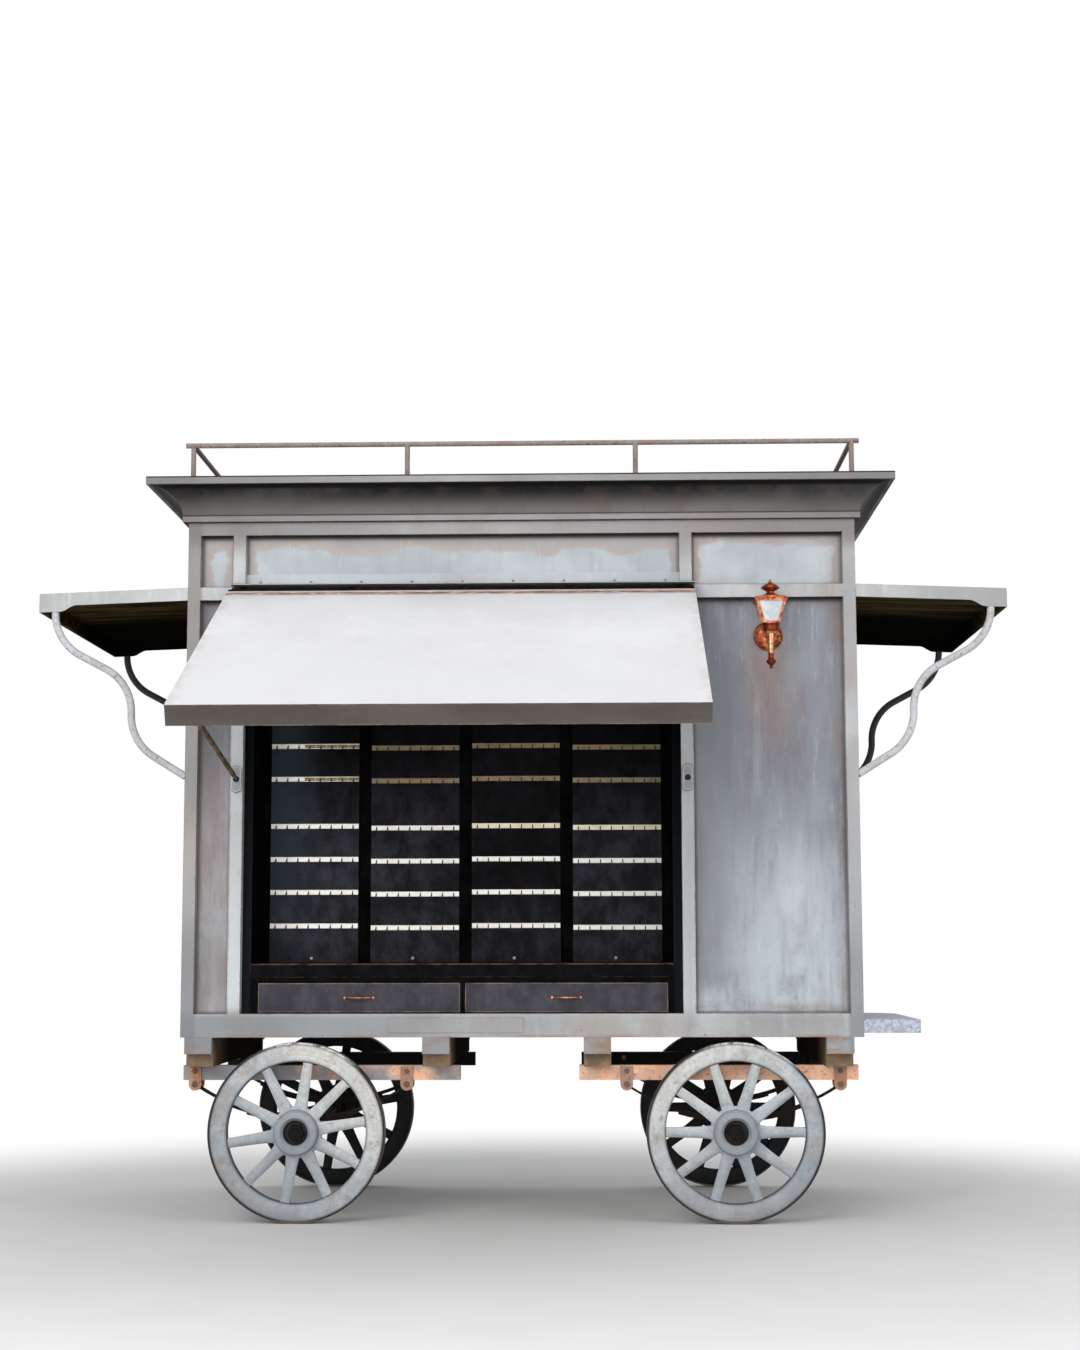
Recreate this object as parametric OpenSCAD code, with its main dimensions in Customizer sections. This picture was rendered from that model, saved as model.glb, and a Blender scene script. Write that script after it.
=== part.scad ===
// Vendor cart: a framed and panelled kiosk body on two sprung axles, with a
// hinged awning, a propping stay, a display recess, two drawers, side canopies,
// a roof rail and a wall lamp. Millimetres, X along the front, Y to the back, Z up.
// Every piece is drawn with y = 0 at the body's front face and z = 0 on the ground.

/* [Body] */
// Width of the body along the front
body_w = 2700; // [2500:10:3200]
// Depth of the body from front to back
body_d = 1400; // [1300:10:1700]
// Height of the body's bottom edge above the ground
body_z = 720; // [710:5:760]
// Height of the body's walls
body_h = 2067; // [2030:1:2200]
// Side of the square tube that frames each wall
frame_t = 50; // [45:1:60]
// Depth from the frame's face to the panels
panel_set = 45; // [35:1:45]
// Thickness of the sheet-metal panels
panel_t = 3; // [2:0.5:5]
// Height of the bottom rail
bottom_rail_h = 92; // [80:1:110]
// Height of the rail at awning level
mid_rail_h = 53; // [45:1:60]
// Depth of the upper band of panels, from the mid rail to the top rail
upper_band_h = 213; // [200:1:240]
// Centre of the stile to the left of the opening
stile_x = -1141; // [-1150:1:-1120]
// Centre of the jamb to the right of the opening
jamb_x = 667.5; // [660:0.5:690]
// Width of the raised bead on the stile and the jamb
bead_w = 2.5; // [2:0.5:2.5]
// Height of the raised bead
bead_out = 2; // [1:0.5:3]
// Thickness of the floor boards
floor_t = 25; // [18:1:30]

/* [Roof] */
// Overhang of the roof board past the body
roof_out = 149; // [140:1:180]
// Thickness of the roof board
roof_t = 31; // [25:1:40]
// Height of the neck moulding below the cove
neck_h = 22; // [18:1:28]
// Projection of the neck moulding
neck_out = 22; // [16:1:26]
// Shadow gap between the wall's top and the neck moulding
neck_gap = 3; // [2:1:6]
// Radius of the cornice's cove
cove_r = 110; // [100:1:110]
// Outer diameter of the roof rail's tube
rail_d = 21; // [18:1:26]
// Height of the roof rail above the roof
rail_h = 193; // [160:1:240]
// Distance of the roof rail behind the front face
rail_set = 109; // [90:1:140]
// Distance of the corner posts from the body's centre
rail_corner_x = 1356; // [1300:1:1370]
// Distance of the inner posts from the body's centre
rail_inner_x = 470; // [400:1:520]
// Length of the rail's ends past the corner posts
rail_end = 31; // [20:1:50]

/* [Side canopies] */
// Projection of each side canopy
canopy_out = 605; // [560:1:640]
// Fall of each canopy's top from the body to its outer edge
canopy_fall = 22; // [10:1:40]
// Depth of the canopy's valance along its inner part
valance_in = 52; // [44:1:60]
// Depth of the canopy's valance at its outer end
valance_out = 76; // [70:1:90]
// Thickness of the canopy's boards
canopy_t = 20; // [16:1:25]
// Diameter of the bracket pipe
bracket_d = 30; // [24:1:34]
// Bend radius of the bracket pipe
bracket_r = 200; // [190:1:205]
// Upper straight run of the bracket pipe
bracket_run = 120; // [100:1:140]
// Distance of the bracket's top from the body's side
bracket_reach = 542; // [530:1:550]

/* [Awning] */
// Left end of the awning pan
awning_x0 = -1171; // [-1185:1:-1171]
// Right end of the awning pan
awning_x1 = 701; // [701:1:720]
// Length of the awning pan from its hinge to its lip
awning_l = 1405; // [1350:1:1420]
// Slope of the open awning below the horizontal
awning_slope = 25.5; // [20:0.5:30]
// Depth of the pan's lip and side flanges
lip_h = 77; // [60:1:78]
// Thickness of the pan's sheet
sheet_t = 2; // [1.5:0.5:3]
// Distance of the hinge axis in front of the body
hinge_out = 76; // [76:1:90]
// Height of the hinge axis below the mid rail's top
hinge_drop = 26; // [24:1:30]
// Radius of the hinge knuckles
knuckle_r = 12; // [11:0.5:13]
// Diameter of the hinge pin
hinge_pin_d = 12; // [8:1:14]
// Width of each fixed hinge knuckle
knuckle_w = 24; // [20:1:40]
// Width of the hinge leaf on the pan
leaf_w = 18; // [14:1:24]
// Thickness of the drip flashing
flashing_t = 3; // [2:0.5:4]
// Height of the flashing's strip on the panel
flashing_h = 36; // [30:1:44]

/* [Stay] */
// Diameter of the stay bar
stay_d = 20; // [16:1:22]
// Length of the stay from its pivot to its tip
stay_l = 1170; // [1150:1:1173]
// Fall of the stay below the horizontal with the awning open
stay_fall = 9.4; // [8:0.1:11]
// Distance of the stay's pivot from the hinge axis, along the pan
stay_u = 1237; // [1200:1:1245]
// Depth of the stay's pivot below the hinge axis, square to the pan
stay_w = 28.4; // [27:0.1:32]
// Diameter of the stay's pivot pin
stay_pin_d = 10; // [8:1:12]
// Height of the sockets above the body's bottom edge
socket_z = 1024; // [1000:1:1040]
// Width of each oval socket plate
socket_w = 44; // [40:1:44]
// Height of each oval socket plate
socket_h = 109; // [90:1:120]
// Thickness of each socket plate
socket_t = 8; // [6:1:8]
// Diameter of the hole that takes the stay's tip
socket_bore = 25; // [22:1:28]

/* [Display] */
// Thickness of the recess lining
liner_t = 18; // [12:1:18]
// Width of the packing between the opening's edge and the lining
liner_pack = 18; // [10:1:24]
// Depth of the lining's front edge behind the front face
liner_y0 = 40; // [30:1:60]
// Depth of the display boards' faces behind the front face
board_y = 340; // [320:5:420]
// Width of each display board
board_w = 366; // [340:1:380]
// Spacing of the display boards
board_pitch = 418; // [400:1:425]
// Centre of the leftmost display board
board_x = -867; // [-880:1:-860]
// Thickness of the display boards
board_t = 12; // [9:1:18]
// Top of the counter ledge above the body's bottom edge
ledge_z = 288; // [280:1:310]
// Height of the counter ledge's front edge
ledge_h = 53; // [40:1:56]
// Thickness of the counter ledge's board
ledge_board_t = 18; // [15:1:25]
// Height of each label strip
strip_h = 20; // [16:1:26]
// Thickness of each label strip
strip_t = 3; // [2:0.5:4]
// Heights of the label strips above the ledge
strip_zs = [897, 760, 564, 427, 291, 153];
// Drop of the strips on the second and fourth boards
strip_drop = 8; // [0:1:12]
// Hooks on each strip
hooks = 8; // [5:1:10]
// Diameter of a hook's wire
hook_d = 4; // [3:0.5:5]
// Length of a hook
hook_l = 26; // [18:1:35]

/* [Drawers] */
// Left end of the left drawer front
drawer_left_x = -1049; // [-1054:1:-1040]
// Right end of the right drawer front
drawer_right_x = 583; // [570:1:588]
// Gap between the two drawer fronts
drawer_gap = 20; // [16:1:30]
// Height of each drawer front
drawer_h = 115; // [100:1:118]
// Depth of each drawer from its front's face
drawer_d = 288; // [240:1:292]
// Thickness of the drawers' boards
drawer_t = 12; // [9:1:15]
// Width of each bow pull
pull_w = 110; // [90:1:140]
// Thickness of a pull's bar
pull_d = 9; // [7:0.5:12]
// Standing of a pull off the drawer
pull_out = 24; // [18:1:34]

/* [Lamp] */
// Centre of the lamp along the front
lamp_x = 999; // [900:1:1100]
// Depth of the lamp's wall plate below the mid rail
lamp_drop = 154; // [130:1:260]
// Distance of the lamp's axis in front of the body
lamp_out = 100; // [80:1:140]
// Diameter of the wall plate
lamp_plate_d = 118; // [100:1:140]
// Width of the lantern at its top
lantern_w = 122; // [110:1:140]
// Width of the lantern at its foot
lantern_foot_w = 69; // [64:1:84]
// Height of the lantern's glass
lantern_h = 94; // [80:1:110]

/* [Undercarriage] */
// Centre of the left axle along the front
axle_left_x = -886; // [-900:1:-860]
// Centre of the right axle along the front
axle_right_x = 843; // [820:1:870]
// Radius of each wheel over its tyre
wheel_r = 350; // [330:1:352]
// Thickness of each tyre
tyre_t = 7; // [5:0.5:10]
// Width of each tyre
tyre_w = 60; // [50:1:70]
// Radial depth of the wooden rim
rim_h = 68; // [55:1:80]
// Width of the wooden rim
rim_w = 52; // [44:1:60]
// Spokes in each wheel
spokes = 10; // [8:1:12]
// Width of a spoke at the nave
spoke_w0 = 52; // [44:1:56]
// Width of a spoke at the rim
spoke_w1 = 38; // [30:1:44]
// Thickness of a spoke
spoke_t = 32; // [26:1:40]
// Radius of each nave
nave_r = 87; // [80:1:92]
// Length of each nave
nave_l = 125; // [110:1:130]
// Radius of the recess in the nave's outer end
nave_cup_r = 52; // [46:1:58]
// Diameter of each axle
axle_d = 40; // [34:1:46]
// Places of the legs and cross beams along the front
beam_xs = [-1279, -336, 302, 1257];
// Places of the side bars' middles along the front
bar_xs = [-804, 785];
// Width of each leg and cross beam
beam_w = 108; // [96:1:120]
// Height of the legs below the body
leg_h = 65; // [55:1:75]
// Height of the cross beams
beam_h = 116; // [100:1:120]
// Distance of the cross beams behind the front face
beam_set = 50; // [40:1:60]
// Side of the square side bars
bar_t = 58; // [50:1:62]
// Length of each side bar
bar_l = 1112; // [1080:1:1130]
// Distance of the side bars behind the front face
bar_set = 140; // [130:1:160]
// Half the span of each leaf spring, from axle to pin
spring_half = 425; // [405:1:435]
// Rise of each leaf spring
spring_rise = 130; // [120:1:140]
// Width of the spring leaves
leaf_spring_w = 48; // [40:1:52]
// Thickness of a spring leaf
leaf_t = 7; // [5:0.5:8]
// Leaves in each spring
leaves = 3; // [2:1:4]
// Depth of the side ledge's board
side_ledge_h = 52; // [44:1:60]
// Projection of the side ledge from the body's right side
side_ledge_out = 222; // [180:1:240]
// Length of the side ledge along the side
side_ledge_l = 860; // [600:10:1000]
// Height of the side ledge's top above the body's bottom edge
side_ledge_z = 68; // [60:1:90]
// Radius of the side ledge's far corner
side_ledge_r = 150; // [60:5:170]

/* [Hidden] */
$fn = 48;

// Clearances
eps = 0.3;
fit = 0.05;
cut = 10;

// Body heights and inner sizes
body_top = body_z + body_h;
half_w = body_w / 2;
mid_rail_top = body_top - frame_t - upper_band_h;
mid_rail_z = mid_rail_top - mid_rail_h;
open_z = body_z + bottom_rail_h;
open_x0 = stile_x + frame_t / 2;
open_x1 = jamb_x - frame_t / 2;
neck_z = body_top + neck_gap;
cove_z = neck_z + neck_h;
roof_z = cove_z + cove_r;
roof_top = roof_z + roof_t;

// Awning axis in the body's own frame
axis_y = -hinge_out;
axis_z = mid_rail_top - hinge_drop;
skin_w = 6;
sheet_u0 = knuckle_r + 2;
reach_y = axis_y - awning_l * cos(awning_slope) - skin_w * sin(awning_slope);
// Place of the body's front face when the whole cart is centred on its origin
front_y = -(reach_y + body_d + roof_out) / 2;

// Recess
liner_x0 = open_x0 + liner_pack + liner_t;
liner_x1 = open_x1 - liner_pack - liner_t;
ledge_top = body_z + ledge_z;
liner_back = board_y + board_t;
rest_z = ledge_top + 3;
board_top = mid_rail_z - 60;

// Drawers
drawer_y = liner_y0 + 4;
drawer_z = open_z + 5;
drawer_mid = (drawer_left_x + drawer_right_x) / 2;
drawer_len = (drawer_right_x - drawer_left_x - drawer_gap) / 2;
drawer_x1 = drawer_right_x - drawer_len;
case_wall = 4;

// Undercarriage
beam_z = body_z - beam_h;
bar_z = beam_z - bar_t;
pin_z = bar_z - 16;
spring_y = bar_set + (bar_t - leaf_spring_w) / 2;
spring_top_z = pin_z - spring_rise;
spring_r = (spring_half * spring_half + spring_rise * spring_rise) / (2 * spring_rise);
pack_h = leaves * leaf_t;
nave_y = tyre_w / 2 - 60;

module cart() {
    translate([0, front_y, 0]) children();
}

// Sets its children on the awning's hinge axis: X along it, Y up the pan towards
// the hinge, Z out of the pan's upper face
module on_awning() {
    translate([0, axis_y, axis_z]) rotate([awning_slope, 0, 0]) children();
}

// Sets its children on the stay's pivot, with Y along the stay
module on_stay() {
    on_awning() translate([stile_x, -stay_u, -stay_w])
        rotate([-awning_slope - stay_fall, 0, 0]) children();
}

// One framed wall: a plate as thick as the tube, with its panels' windows cut out
module wall_frame(w, windows) {
    difference() {
        translate([-w / 2, 0, body_z]) cube([w, frame_t, body_h]);
        for (q = windows)
            translate([q[0], -cut, q[2]]) cube([q[1] - q[0], frame_t + 2 * cut, q[3] - q[2]]);
    }
}

// Sheets that close a wall's windows, set back from the frame's face
module wall_panels(windows) {
    for (q = windows)
        translate([q[0], panel_set, q[2]]) cube([q[1] - q[0], panel_t, q[3] - q[2]]);
}

// The lower and the upper window between two uprights
function bay(x0, x1) = [[x0, x1, open_z, mid_rail_z], [x0, x1, mid_rail_top, body_top - frame_t]];

front_left = bay(-half_w + frame_t, stile_x - frame_t / 2);
front_right = bay(jamb_x + frame_t / 2, half_w - frame_t);
front_mid = bay(open_x0, open_x1);

function rear_bays() = [
    for (k = [0:2])
        for (q = bay(-half_w + frame_t + k * (body_w - frame_t) / 3, -half_w + (k + 1) * (body_w - frame_t) / 3))
            q
];

side_w = body_d - 2 * frame_t;
function side_bays() = concat(bay(-side_w / 2 + frame_t, -frame_t / 2), bay(frame_t / 2, side_w / 2 - frame_t));

module on_rear() {
    translate([0, body_d, 0]) rotate([0, 0, 180]) children();
}

module on_sides() {
    for (s = [-1, 1])
        translate([s * half_w, body_d / 2, 0]) rotate([0, 0, s * 90]) children();
}

module floor_boards() {
    color("dimgray") cart()
        translate([-half_w + frame_t, frame_t, body_z])
            cube([body_w - 2 * frame_t, body_d - 2 * frame_t, floor_t]);
}

module front_frame() {
    color("slategray") cart() {
        wall_frame(body_w, concat(front_left, front_mid, front_right));
        // Raised beads on the outer edges of the stile and the jamb
        for (x = [stile_x - frame_t / 2, jamb_x + frame_t / 2 - bead_w])
            translate([x, -bead_out, open_z]) cube([bead_w, bead_out + 1, mid_rail_z - open_z]);
    }
}

module front_panels() {
    color("lightslategray") cart()
        wall_panels(concat(front_left, [front_mid[1]], front_right));
}

module side_frames() {
    color("slategray") cart() on_sides() wall_frame(side_w, side_bays());
}

module side_panels() {
    color("lightslategray") cart() on_sides() wall_panels(side_bays());
}

module rear_frame() {
    color("slategray") cart() on_rear() wall_frame(body_w, rear_bays());
}

module rear_panels() {
    color("lightslategray") cart() on_rear() wall_panels(rear_bays());
}

// A rectangular block round the body, grown by out on every side
module round_body(out, z0, z1) {
    translate([-half_w - out, -out, z0])
        cube([body_w + 2 * out, body_d + 2 * out, z1 - z0]);
}

module neck_moulding() {
    color("gray") cart() difference() {
        round_body(neck_out, neck_z, cove_z);
        round_body(0, neck_z - cut, cove_z + cut);
    }
}

// The cove, cut into each side of a block that is mitred at its corners
module cornice() {
    cove_out = roof_out - neck_out - cove_r;
    axis_out = neck_out + cove_r;
    color("slategray") cart() difference() {
        union() {
            round_body(0, body_top, cove_z);
            round_body(roof_out - cove_out, cove_z, roof_z);
        }
        for (s = [0, 1])
            translate([-half_w - roof_out - cut, s * body_d + (2 * s - 1) * axis_out, cove_z])
                rotate([0, 90, 0]) cylinder(r = cove_r, h = body_w + 2 * roof_out + 2 * cut, $fn = 96);
        for (s = [-1, 1])
            translate([s * (half_w + axis_out), -roof_out - cut, cove_z])
                rotate([-90, 0, 0]) cylinder(r = cove_r, h = body_d + 2 * roof_out + 2 * cut, $fn = 96);
        round_body(-frame_t, body_top - cut, roof_z + cut);
    }
}

module roof_board() {
    color("dimgray") cart() round_body(roof_out, roof_z, roof_top);
}

// A square loop of tube on posts, with short ends past each corner
module roof_rail() {
    r = rail_d / 2;
    z = roof_top + rail_h - r;
    long = 2 * (rail_corner_x + rail_end);
    ys = [rail_set, body_d - rail_set];
    color("rosybrown") cart() {
        for (y = ys) {
            translate([-long / 2, y, z]) rotate([0, 90, 0]) cylinder(d = rail_d, h = long);
            for (x = [-rail_corner_x, -rail_inner_x, rail_inner_x, rail_corner_x])
                translate([x, y, roof_top]) cylinder(d = rail_d, h = rail_h - r);
        }
        for (x = [-rail_corner_x, rail_corner_x])
            translate([x, ys[0], z]) rotate([-90, 0, 0]) cylinder(d = rail_d, h = ys[1] - ys[0]);
    }
}

// Outline of a canopy's valance, from the body outwards, with its S-shaped lower edge
s_steps = 8;
s_x0 = canopy_out - 150;
s_x1 = canopy_out - 85;
canopy_z = mid_rail_top - 1;
function canopy_top(x) = -canopy_fall * x / canopy_out;

module valance() {
    step = valance_out - valance_in;
    polygon(concat(
        [[0, 0], [canopy_out, canopy_top(canopy_out)], [canopy_out, canopy_top(canopy_out) - valance_out]],
        [for (k = [0:s_steps]) let (x = s_x1 + (s_x0 - s_x1) * k / s_steps)
            [x, canopy_top(x) - valance_out + step * (1 - cos(180 * k / s_steps)) / 2]],
        [[0, -valance_in]]
    ));
}

// A tray turned over: a sloping top with boards on its three outer sides
module canopy() {
    translate([half_w, body_d, canopy_z]) rotate([90, 0, 0]) difference() {
        linear_extrude(body_d) valance();
        translate([0, 0, canopy_t]) linear_extrude(body_d - 2 * canopy_t)
            polygon([
                [-cut, -canopy_t], [0, -canopy_t],
                [canopy_out - canopy_t, canopy_top(canopy_out - canopy_t) - canopy_t],
                [canopy_out - canopy_t, -canopy_out], [-cut, -canopy_out]
            ]);
    }
}

module right_canopy() {
    color("darkslategray") cart() canopy();
}

module left_canopy() {
    color("darkslategray") cart() mirror([1, 0, 0]) canopy();
}

// Centre line of a bracket pipe as [towards the body, down, heading]: heading 0
// runs straight down, and 90 runs straight at the body
bend_steps = 12;
pipe_sides = 16;
bracket_turn = 62;
bracket_foot_turn = 58;

function arc_points(p, a0, a1) = let (s = sign(a1 - a0)) [
    for (k = [0:bend_steps]) let (a = a0 + (a1 - a0) * k / bend_steps)
        [p[0] + s * bracket_r * (cos(a0) - cos(a)), p[1] + s * bracket_r * (sin(a) - sin(a0)), a]
];
function end_of(path) = path[len(path) - 1];

bracket_bend_1 = arc_points([0, 0], 0, bracket_turn);
bracket_bend_2 = arc_points(
    [end_of(bracket_bend_1)[0] + bracket_run * sin(bracket_turn),
     end_of(bracket_bend_1)[1] + bracket_run * cos(bracket_turn)],
    bracket_turn, 0
);
bracket_bend_3 = arc_points(end_of(bracket_bend_2) + [0, 10, 0], 0, bracket_foot_turn);
bracket_foot = (bracket_reach - end_of(bracket_bend_3)[0]) / sin(bracket_foot_turn);
bracket_path = concat(
    bracket_bend_1, bracket_bend_2, bracket_bend_3,
    [[bracket_reach, end_of(bracket_bend_3)[1] + bracket_foot * cos(bracket_foot_turn), bracket_foot_turn]]
);

// One point of the ring at step k; the last ring is cut flush with the body's side
function bracket_point(k, t) = let (
    p = bracket_path[k],
    r = bracket_d / 2,
    u = p[0] + r * cos(t) * cos(p[2]),
    v = p[1] - r * cos(t) * sin(p[2]),
    slip = k == len(bracket_path) - 1 ? (bracket_reach - u) / sin(p[2]) : 0
) [-u - slip * sin(p[2]), r * sin(t), -v - slip * cos(p[2])];

// The S-shaped pipe from the canopy's valance down to the body's corner
module bracket_pipe() {
    rings = len(bracket_path);
    n = pipe_sides;
    polyhedron(
        [for (k = [0:rings - 1], m = [0:n - 1]) bracket_point(k, 360 * m / n)],
        concat(
            [[for (m = [0:n - 1]) m]],
            [for (k = [0:rings - 2], m = [0:n - 1])
                [k * n + m, (k + 1) * n + m, (k + 1) * n + (m + 1) % n, k * n + (m + 1) % n]],
            [[for (m = [n - 1:-1:0]) (rings - 1) * n + m]]
        )
    );
}

module canopy_brackets() {
    top_z = canopy_z + canopy_top(bracket_reach + bracket_d / 2) - valance_out;
    color("lightsteelblue") cart()
        for (m = [0, 1], y = [bracket_d / 2, body_d - bracket_d / 2])
            mirror([m, 0, 0]) translate([half_w + bracket_reach, y, top_z]) bracket_pipe();
}

module side_ledge() {
    r = side_ledge_r;
    color("slategray") cart()
        translate([half_w + eps, 0, body_z + side_ledge_z - side_ledge_h])
            linear_extrude(side_ledge_h) {
                square([side_ledge_out - r, side_ledge_l]);
                square([side_ledge_out, side_ledge_l - r]);
                intersection() {
                    translate([side_ledge_out - r, side_ledge_l - r]) circle(r = r, $fn = 96);
                    square([side_ledge_out, side_ledge_l]);
                }
            }
}

module bare_plate() {
    plate_x = -258;
    plate_w = 535;
    plate_h = 59;
    plate_t = 4;
    plate_lift = 18;
    color("slategray") cart()
        translate([plate_x - plate_w / 2, -plate_t, body_z + plate_lift]) cube([plate_w, plate_t, plate_h]);
}

// Strip on the panel and a sloping shelf that runs out over the hinge
flashing_x0 = open_x0;
flashing_x1 = open_x1;
shelf_y = axis_y - 4;
shelf_front_z = mid_rail_top - 1;
shelf_back_z = mid_rail_top + 22;
shelf_x0 = stile_x - frame_t / 2 + 5;
shelf_x1 = jamb_x + frame_t / 2 + 7;

function shelf_z(y) = shelf_front_z + (shelf_back_z - shelf_front_z) * (y - shelf_y) / (panel_set - shelf_y);

module drip_flashing() {
    hem = 8;
    color("silver") cart() {
        translate([flashing_x0, 0, 0]) rotate([90, 0, 90]) linear_extrude(flashing_x1 - flashing_x0)
            polygon([
                [panel_set, shelf_back_z + flashing_h], [panel_set, shelf_back_z - flashing_t],
                [shelf_y, shelf_front_z - flashing_t], [shelf_y, shelf_front_z],
                [panel_set - flashing_t, shelf_z(panel_set - flashing_t)],
                [panel_set - flashing_t, shelf_back_z + flashing_h]
            ]);
        translate([shelf_x0, 0, 0]) rotate([90, 0, 90]) linear_extrude(shelf_x1 - shelf_x0)
            polygon([
                [0, shelf_z(0)], [0, shelf_z(0) - flashing_t], [shelf_y + flashing_t, shelf_front_z - flashing_t],
                [shelf_y + flashing_t, shelf_front_z - hem], [shelf_y, shelf_front_z - hem], [shelf_y, shelf_front_z]
            ]);
    }
}

module flashing_screws() {
    count = 9;
    pitch = 206;
    first = (flashing_x0 + flashing_x1 - (count - 1) * pitch) / 2;
    color("gray") cart()
        for (k = [0:count - 1])
            translate([first + k * pitch, panel_set - flashing_t, shelf_back_z + 12]) rotate([90, 0, 0])
                cylinder(r1 = 8, r2 = 5, h = 4, $fn = 24);
}

// Places of the fixed knuckles along the hinge
bracket_count = 5;
hinge_x0 = awning_x0 + 60;
hinge_x1 = awning_x1 - 60;
function hinge_xs() = [for (k = [0:bracket_count - 1]) hinge_x0 + (hinge_x1 - hinge_x0) * k / (bracket_count - 1)];

// An arm from the mid rail to a knuckle round the pin
module hinge_brackets() {
    arm_t = 14;
    plate_t = 6;
    color("saddlebrown") cart() difference() {
        for (x = hinge_xs()) translate([x - knuckle_w / 2, 0, 0]) {
            translate([0, axis_y, axis_z]) rotate([0, 90, 0]) cylinder(r = knuckle_r, h = knuckle_w);
            translate([0, axis_y, axis_z - arm_t / 2]) cube([knuckle_w, hinge_out, arm_t]);
            translate([-12, -plate_t, mid_rail_z + 4]) cube([knuckle_w + 24, plate_t, mid_rail_h - 8]);
        }
        translate([awning_x0, axis_y, axis_z]) rotate([0, 90, 0])
            cylinder(d = hinge_pin_d, h = awning_x1 - awning_x0);
    }
}

module hinge_pin() {
    color("gray") cart()
        translate([awning_x0 + 10, axis_y, axis_z]) rotate([0, 90, 0])
            cylinder(d = hinge_pin_d, h = awning_x1 - awning_x0 - 20);
}

// The awning: a shallow folded pan, open underneath and along its hinge edge
module awning_pan() {
    color("gainsboro") cart() on_awning() difference() {
        translate([awning_x0, -awning_l, skin_w - lip_h])
            cube([awning_x1 - awning_x0, awning_l - sheet_u0, lip_h]);
        translate([awning_x0 + sheet_t, -awning_l + sheet_t, skin_w - lip_h - sheet_t])
            cube([awning_x1 - awning_x0 - 2 * sheet_t, awning_l, lip_h]);
    }
}

// A strip along the pan's edge with a knuckle beside each fixed one
module hinge_leaf() {
    leaf = 2.5;
    gap = 1;
    color("sienna") cart() on_awning() difference() {
        union() {
            translate([awning_x0 + 2, -sheet_u0 - leaf_w, skin_w])
                cube([awning_x1 - awning_x0 - 4, leaf_w, leaf]);
            for (x = hinge_xs(), s = [-1, 1])
                translate([x + s * (knuckle_w + gap) - knuckle_w / 2, 0, 0]) {
                    rotate([0, 90, 0]) cylinder(r = knuckle_r - 1, h = knuckle_w);
                    translate([0, -sheet_u0 - 1, skin_w]) cube([knuckle_w, sheet_u0 + 1, leaf]);
                }
        }
        translate([awning_x0, 0, 0]) rotate([0, 90, 0])
            cylinder(d = hinge_pin_d + 2 * fit, h = awning_x1 - awning_x0);
    }
}

// Fork under the pan's corner, square to the stay, with its pin
stay_eye_r = 16;
stay_eye_t = 8;
lug_t = 5;
web_t = 6;

module stay_clevis() {
    low = -stay_eye_t / 2 - eps - lug_t;
    color("dimgray") cart() difference() {
        on_stay() {
            translate([0, 0, low]) cylinder(d = stay_pin_d, h = stay_eye_t + 2 * (eps + lug_t));
            for (z = [low, stay_eye_t / 2 + eps]) translate([0, 0, z]) {
                cylinder(r = stay_eye_r, h = lug_t);
                translate([-stay_eye_r, -stay_eye_r - web_t, 0]) cube([2 * stay_eye_r, stay_eye_r + web_t, lug_t]);
            }
            translate([-stay_eye_r, -stay_eye_r - web_t, low]) cube([2 * stay_eye_r, web_t, stay_w + skin_w + 20]);
            translate([-web_t / 2, -stay_eye_r - web_t, stay_eye_t / 2 + eps])
                cube([web_t, 2 * stay_eye_r, stay_w + skin_w + 10]);
        }
        on_awning() translate([awning_x0 - cut, -awning_l - cut, skin_w - sheet_t])
            cube([awning_x1 - awning_x0, awning_l + 2 * cut, 2 * (stay_w + skin_w + stay_eye_r)]);
    }
}

module stay_bar() {
    tip_l = 45;
    neck_y = stay_eye_r + 6;
    color("saddlebrown") cart() on_stay() difference() {
        union() {
            translate([0, 0, -stay_eye_t / 2]) cylinder(r = stay_eye_r, h = stay_eye_t);
            translate([-stay_d / 2, 0, -stay_eye_t / 2]) cube([stay_d, neck_y + 10, stay_eye_t]);
            translate([0, neck_y, 0]) rotate([-90, 0, 0]) cylinder(d = stay_d, h = stay_l - tip_l - neck_y);
            translate([0, neck_y, 0]) rotate([-90, 0, 0]) cylinder(d = stay_d * 0.6, h = stay_l - neck_y);
        }
        translate([0, 0, -stay_eye_t]) cylinder(d = stay_pin_d + 2 * fit, h = 2 * stay_eye_t);
    }
}

// Oval plates on the stile and the jamb, each with a blind hole
module stay_sockets() {
    r = socket_w / 2;
    rise = socket_h / 2 - r;
    color("slategray") cart() for (x = [stile_x, jamb_x])
        translate([x, 0, body_z + socket_z]) rotate([90, 0, 0]) difference() {
            linear_extrude(socket_t) {
                translate([0, rise]) circle(r = r);
                translate([0, -rise]) circle(r = r);
                translate([-r, -rise]) square([2 * r, 2 * rise]);
            }
            translate([0, 0, 1]) cylinder(d = socket_bore, h = socket_t);
        }
}

// Lining of the recess: sides, top and back, with packing to the frame
module recess_lining() {
    top = mid_rail_z;
    color("black") cart() difference() {
        translate([open_x0, frame_t, open_z]) cube([open_x1 - open_x0, liner_back + liner_t - frame_t, top - open_z]);
        translate([liner_x0, 0, open_z - cut]) cube([liner_x1 - liner_x0, liner_back, top - open_z + cut - liner_t]);
    }
}

board_xs = [for (k = [0:3]) board_x + k * board_pitch];
function strip_z(k, h) = ledge_top + h - (k % 2) * strip_drop;

module display_boards() {
    color("#2b272c") cart() for (x = board_xs)
        translate([x - board_w / 2, board_y, rest_z]) cube([board_w, board_t, board_top - rest_z]);
}

module label_strips() {
    color("ivory") cart() for (k = [0:3], h = strip_zs)
        translate([board_xs[k] - board_w / 2 + 1, board_y - strip_t, strip_z(k, h) - strip_h / 2])
            cube([board_w - 2, strip_t, strip_h]);
}

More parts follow.
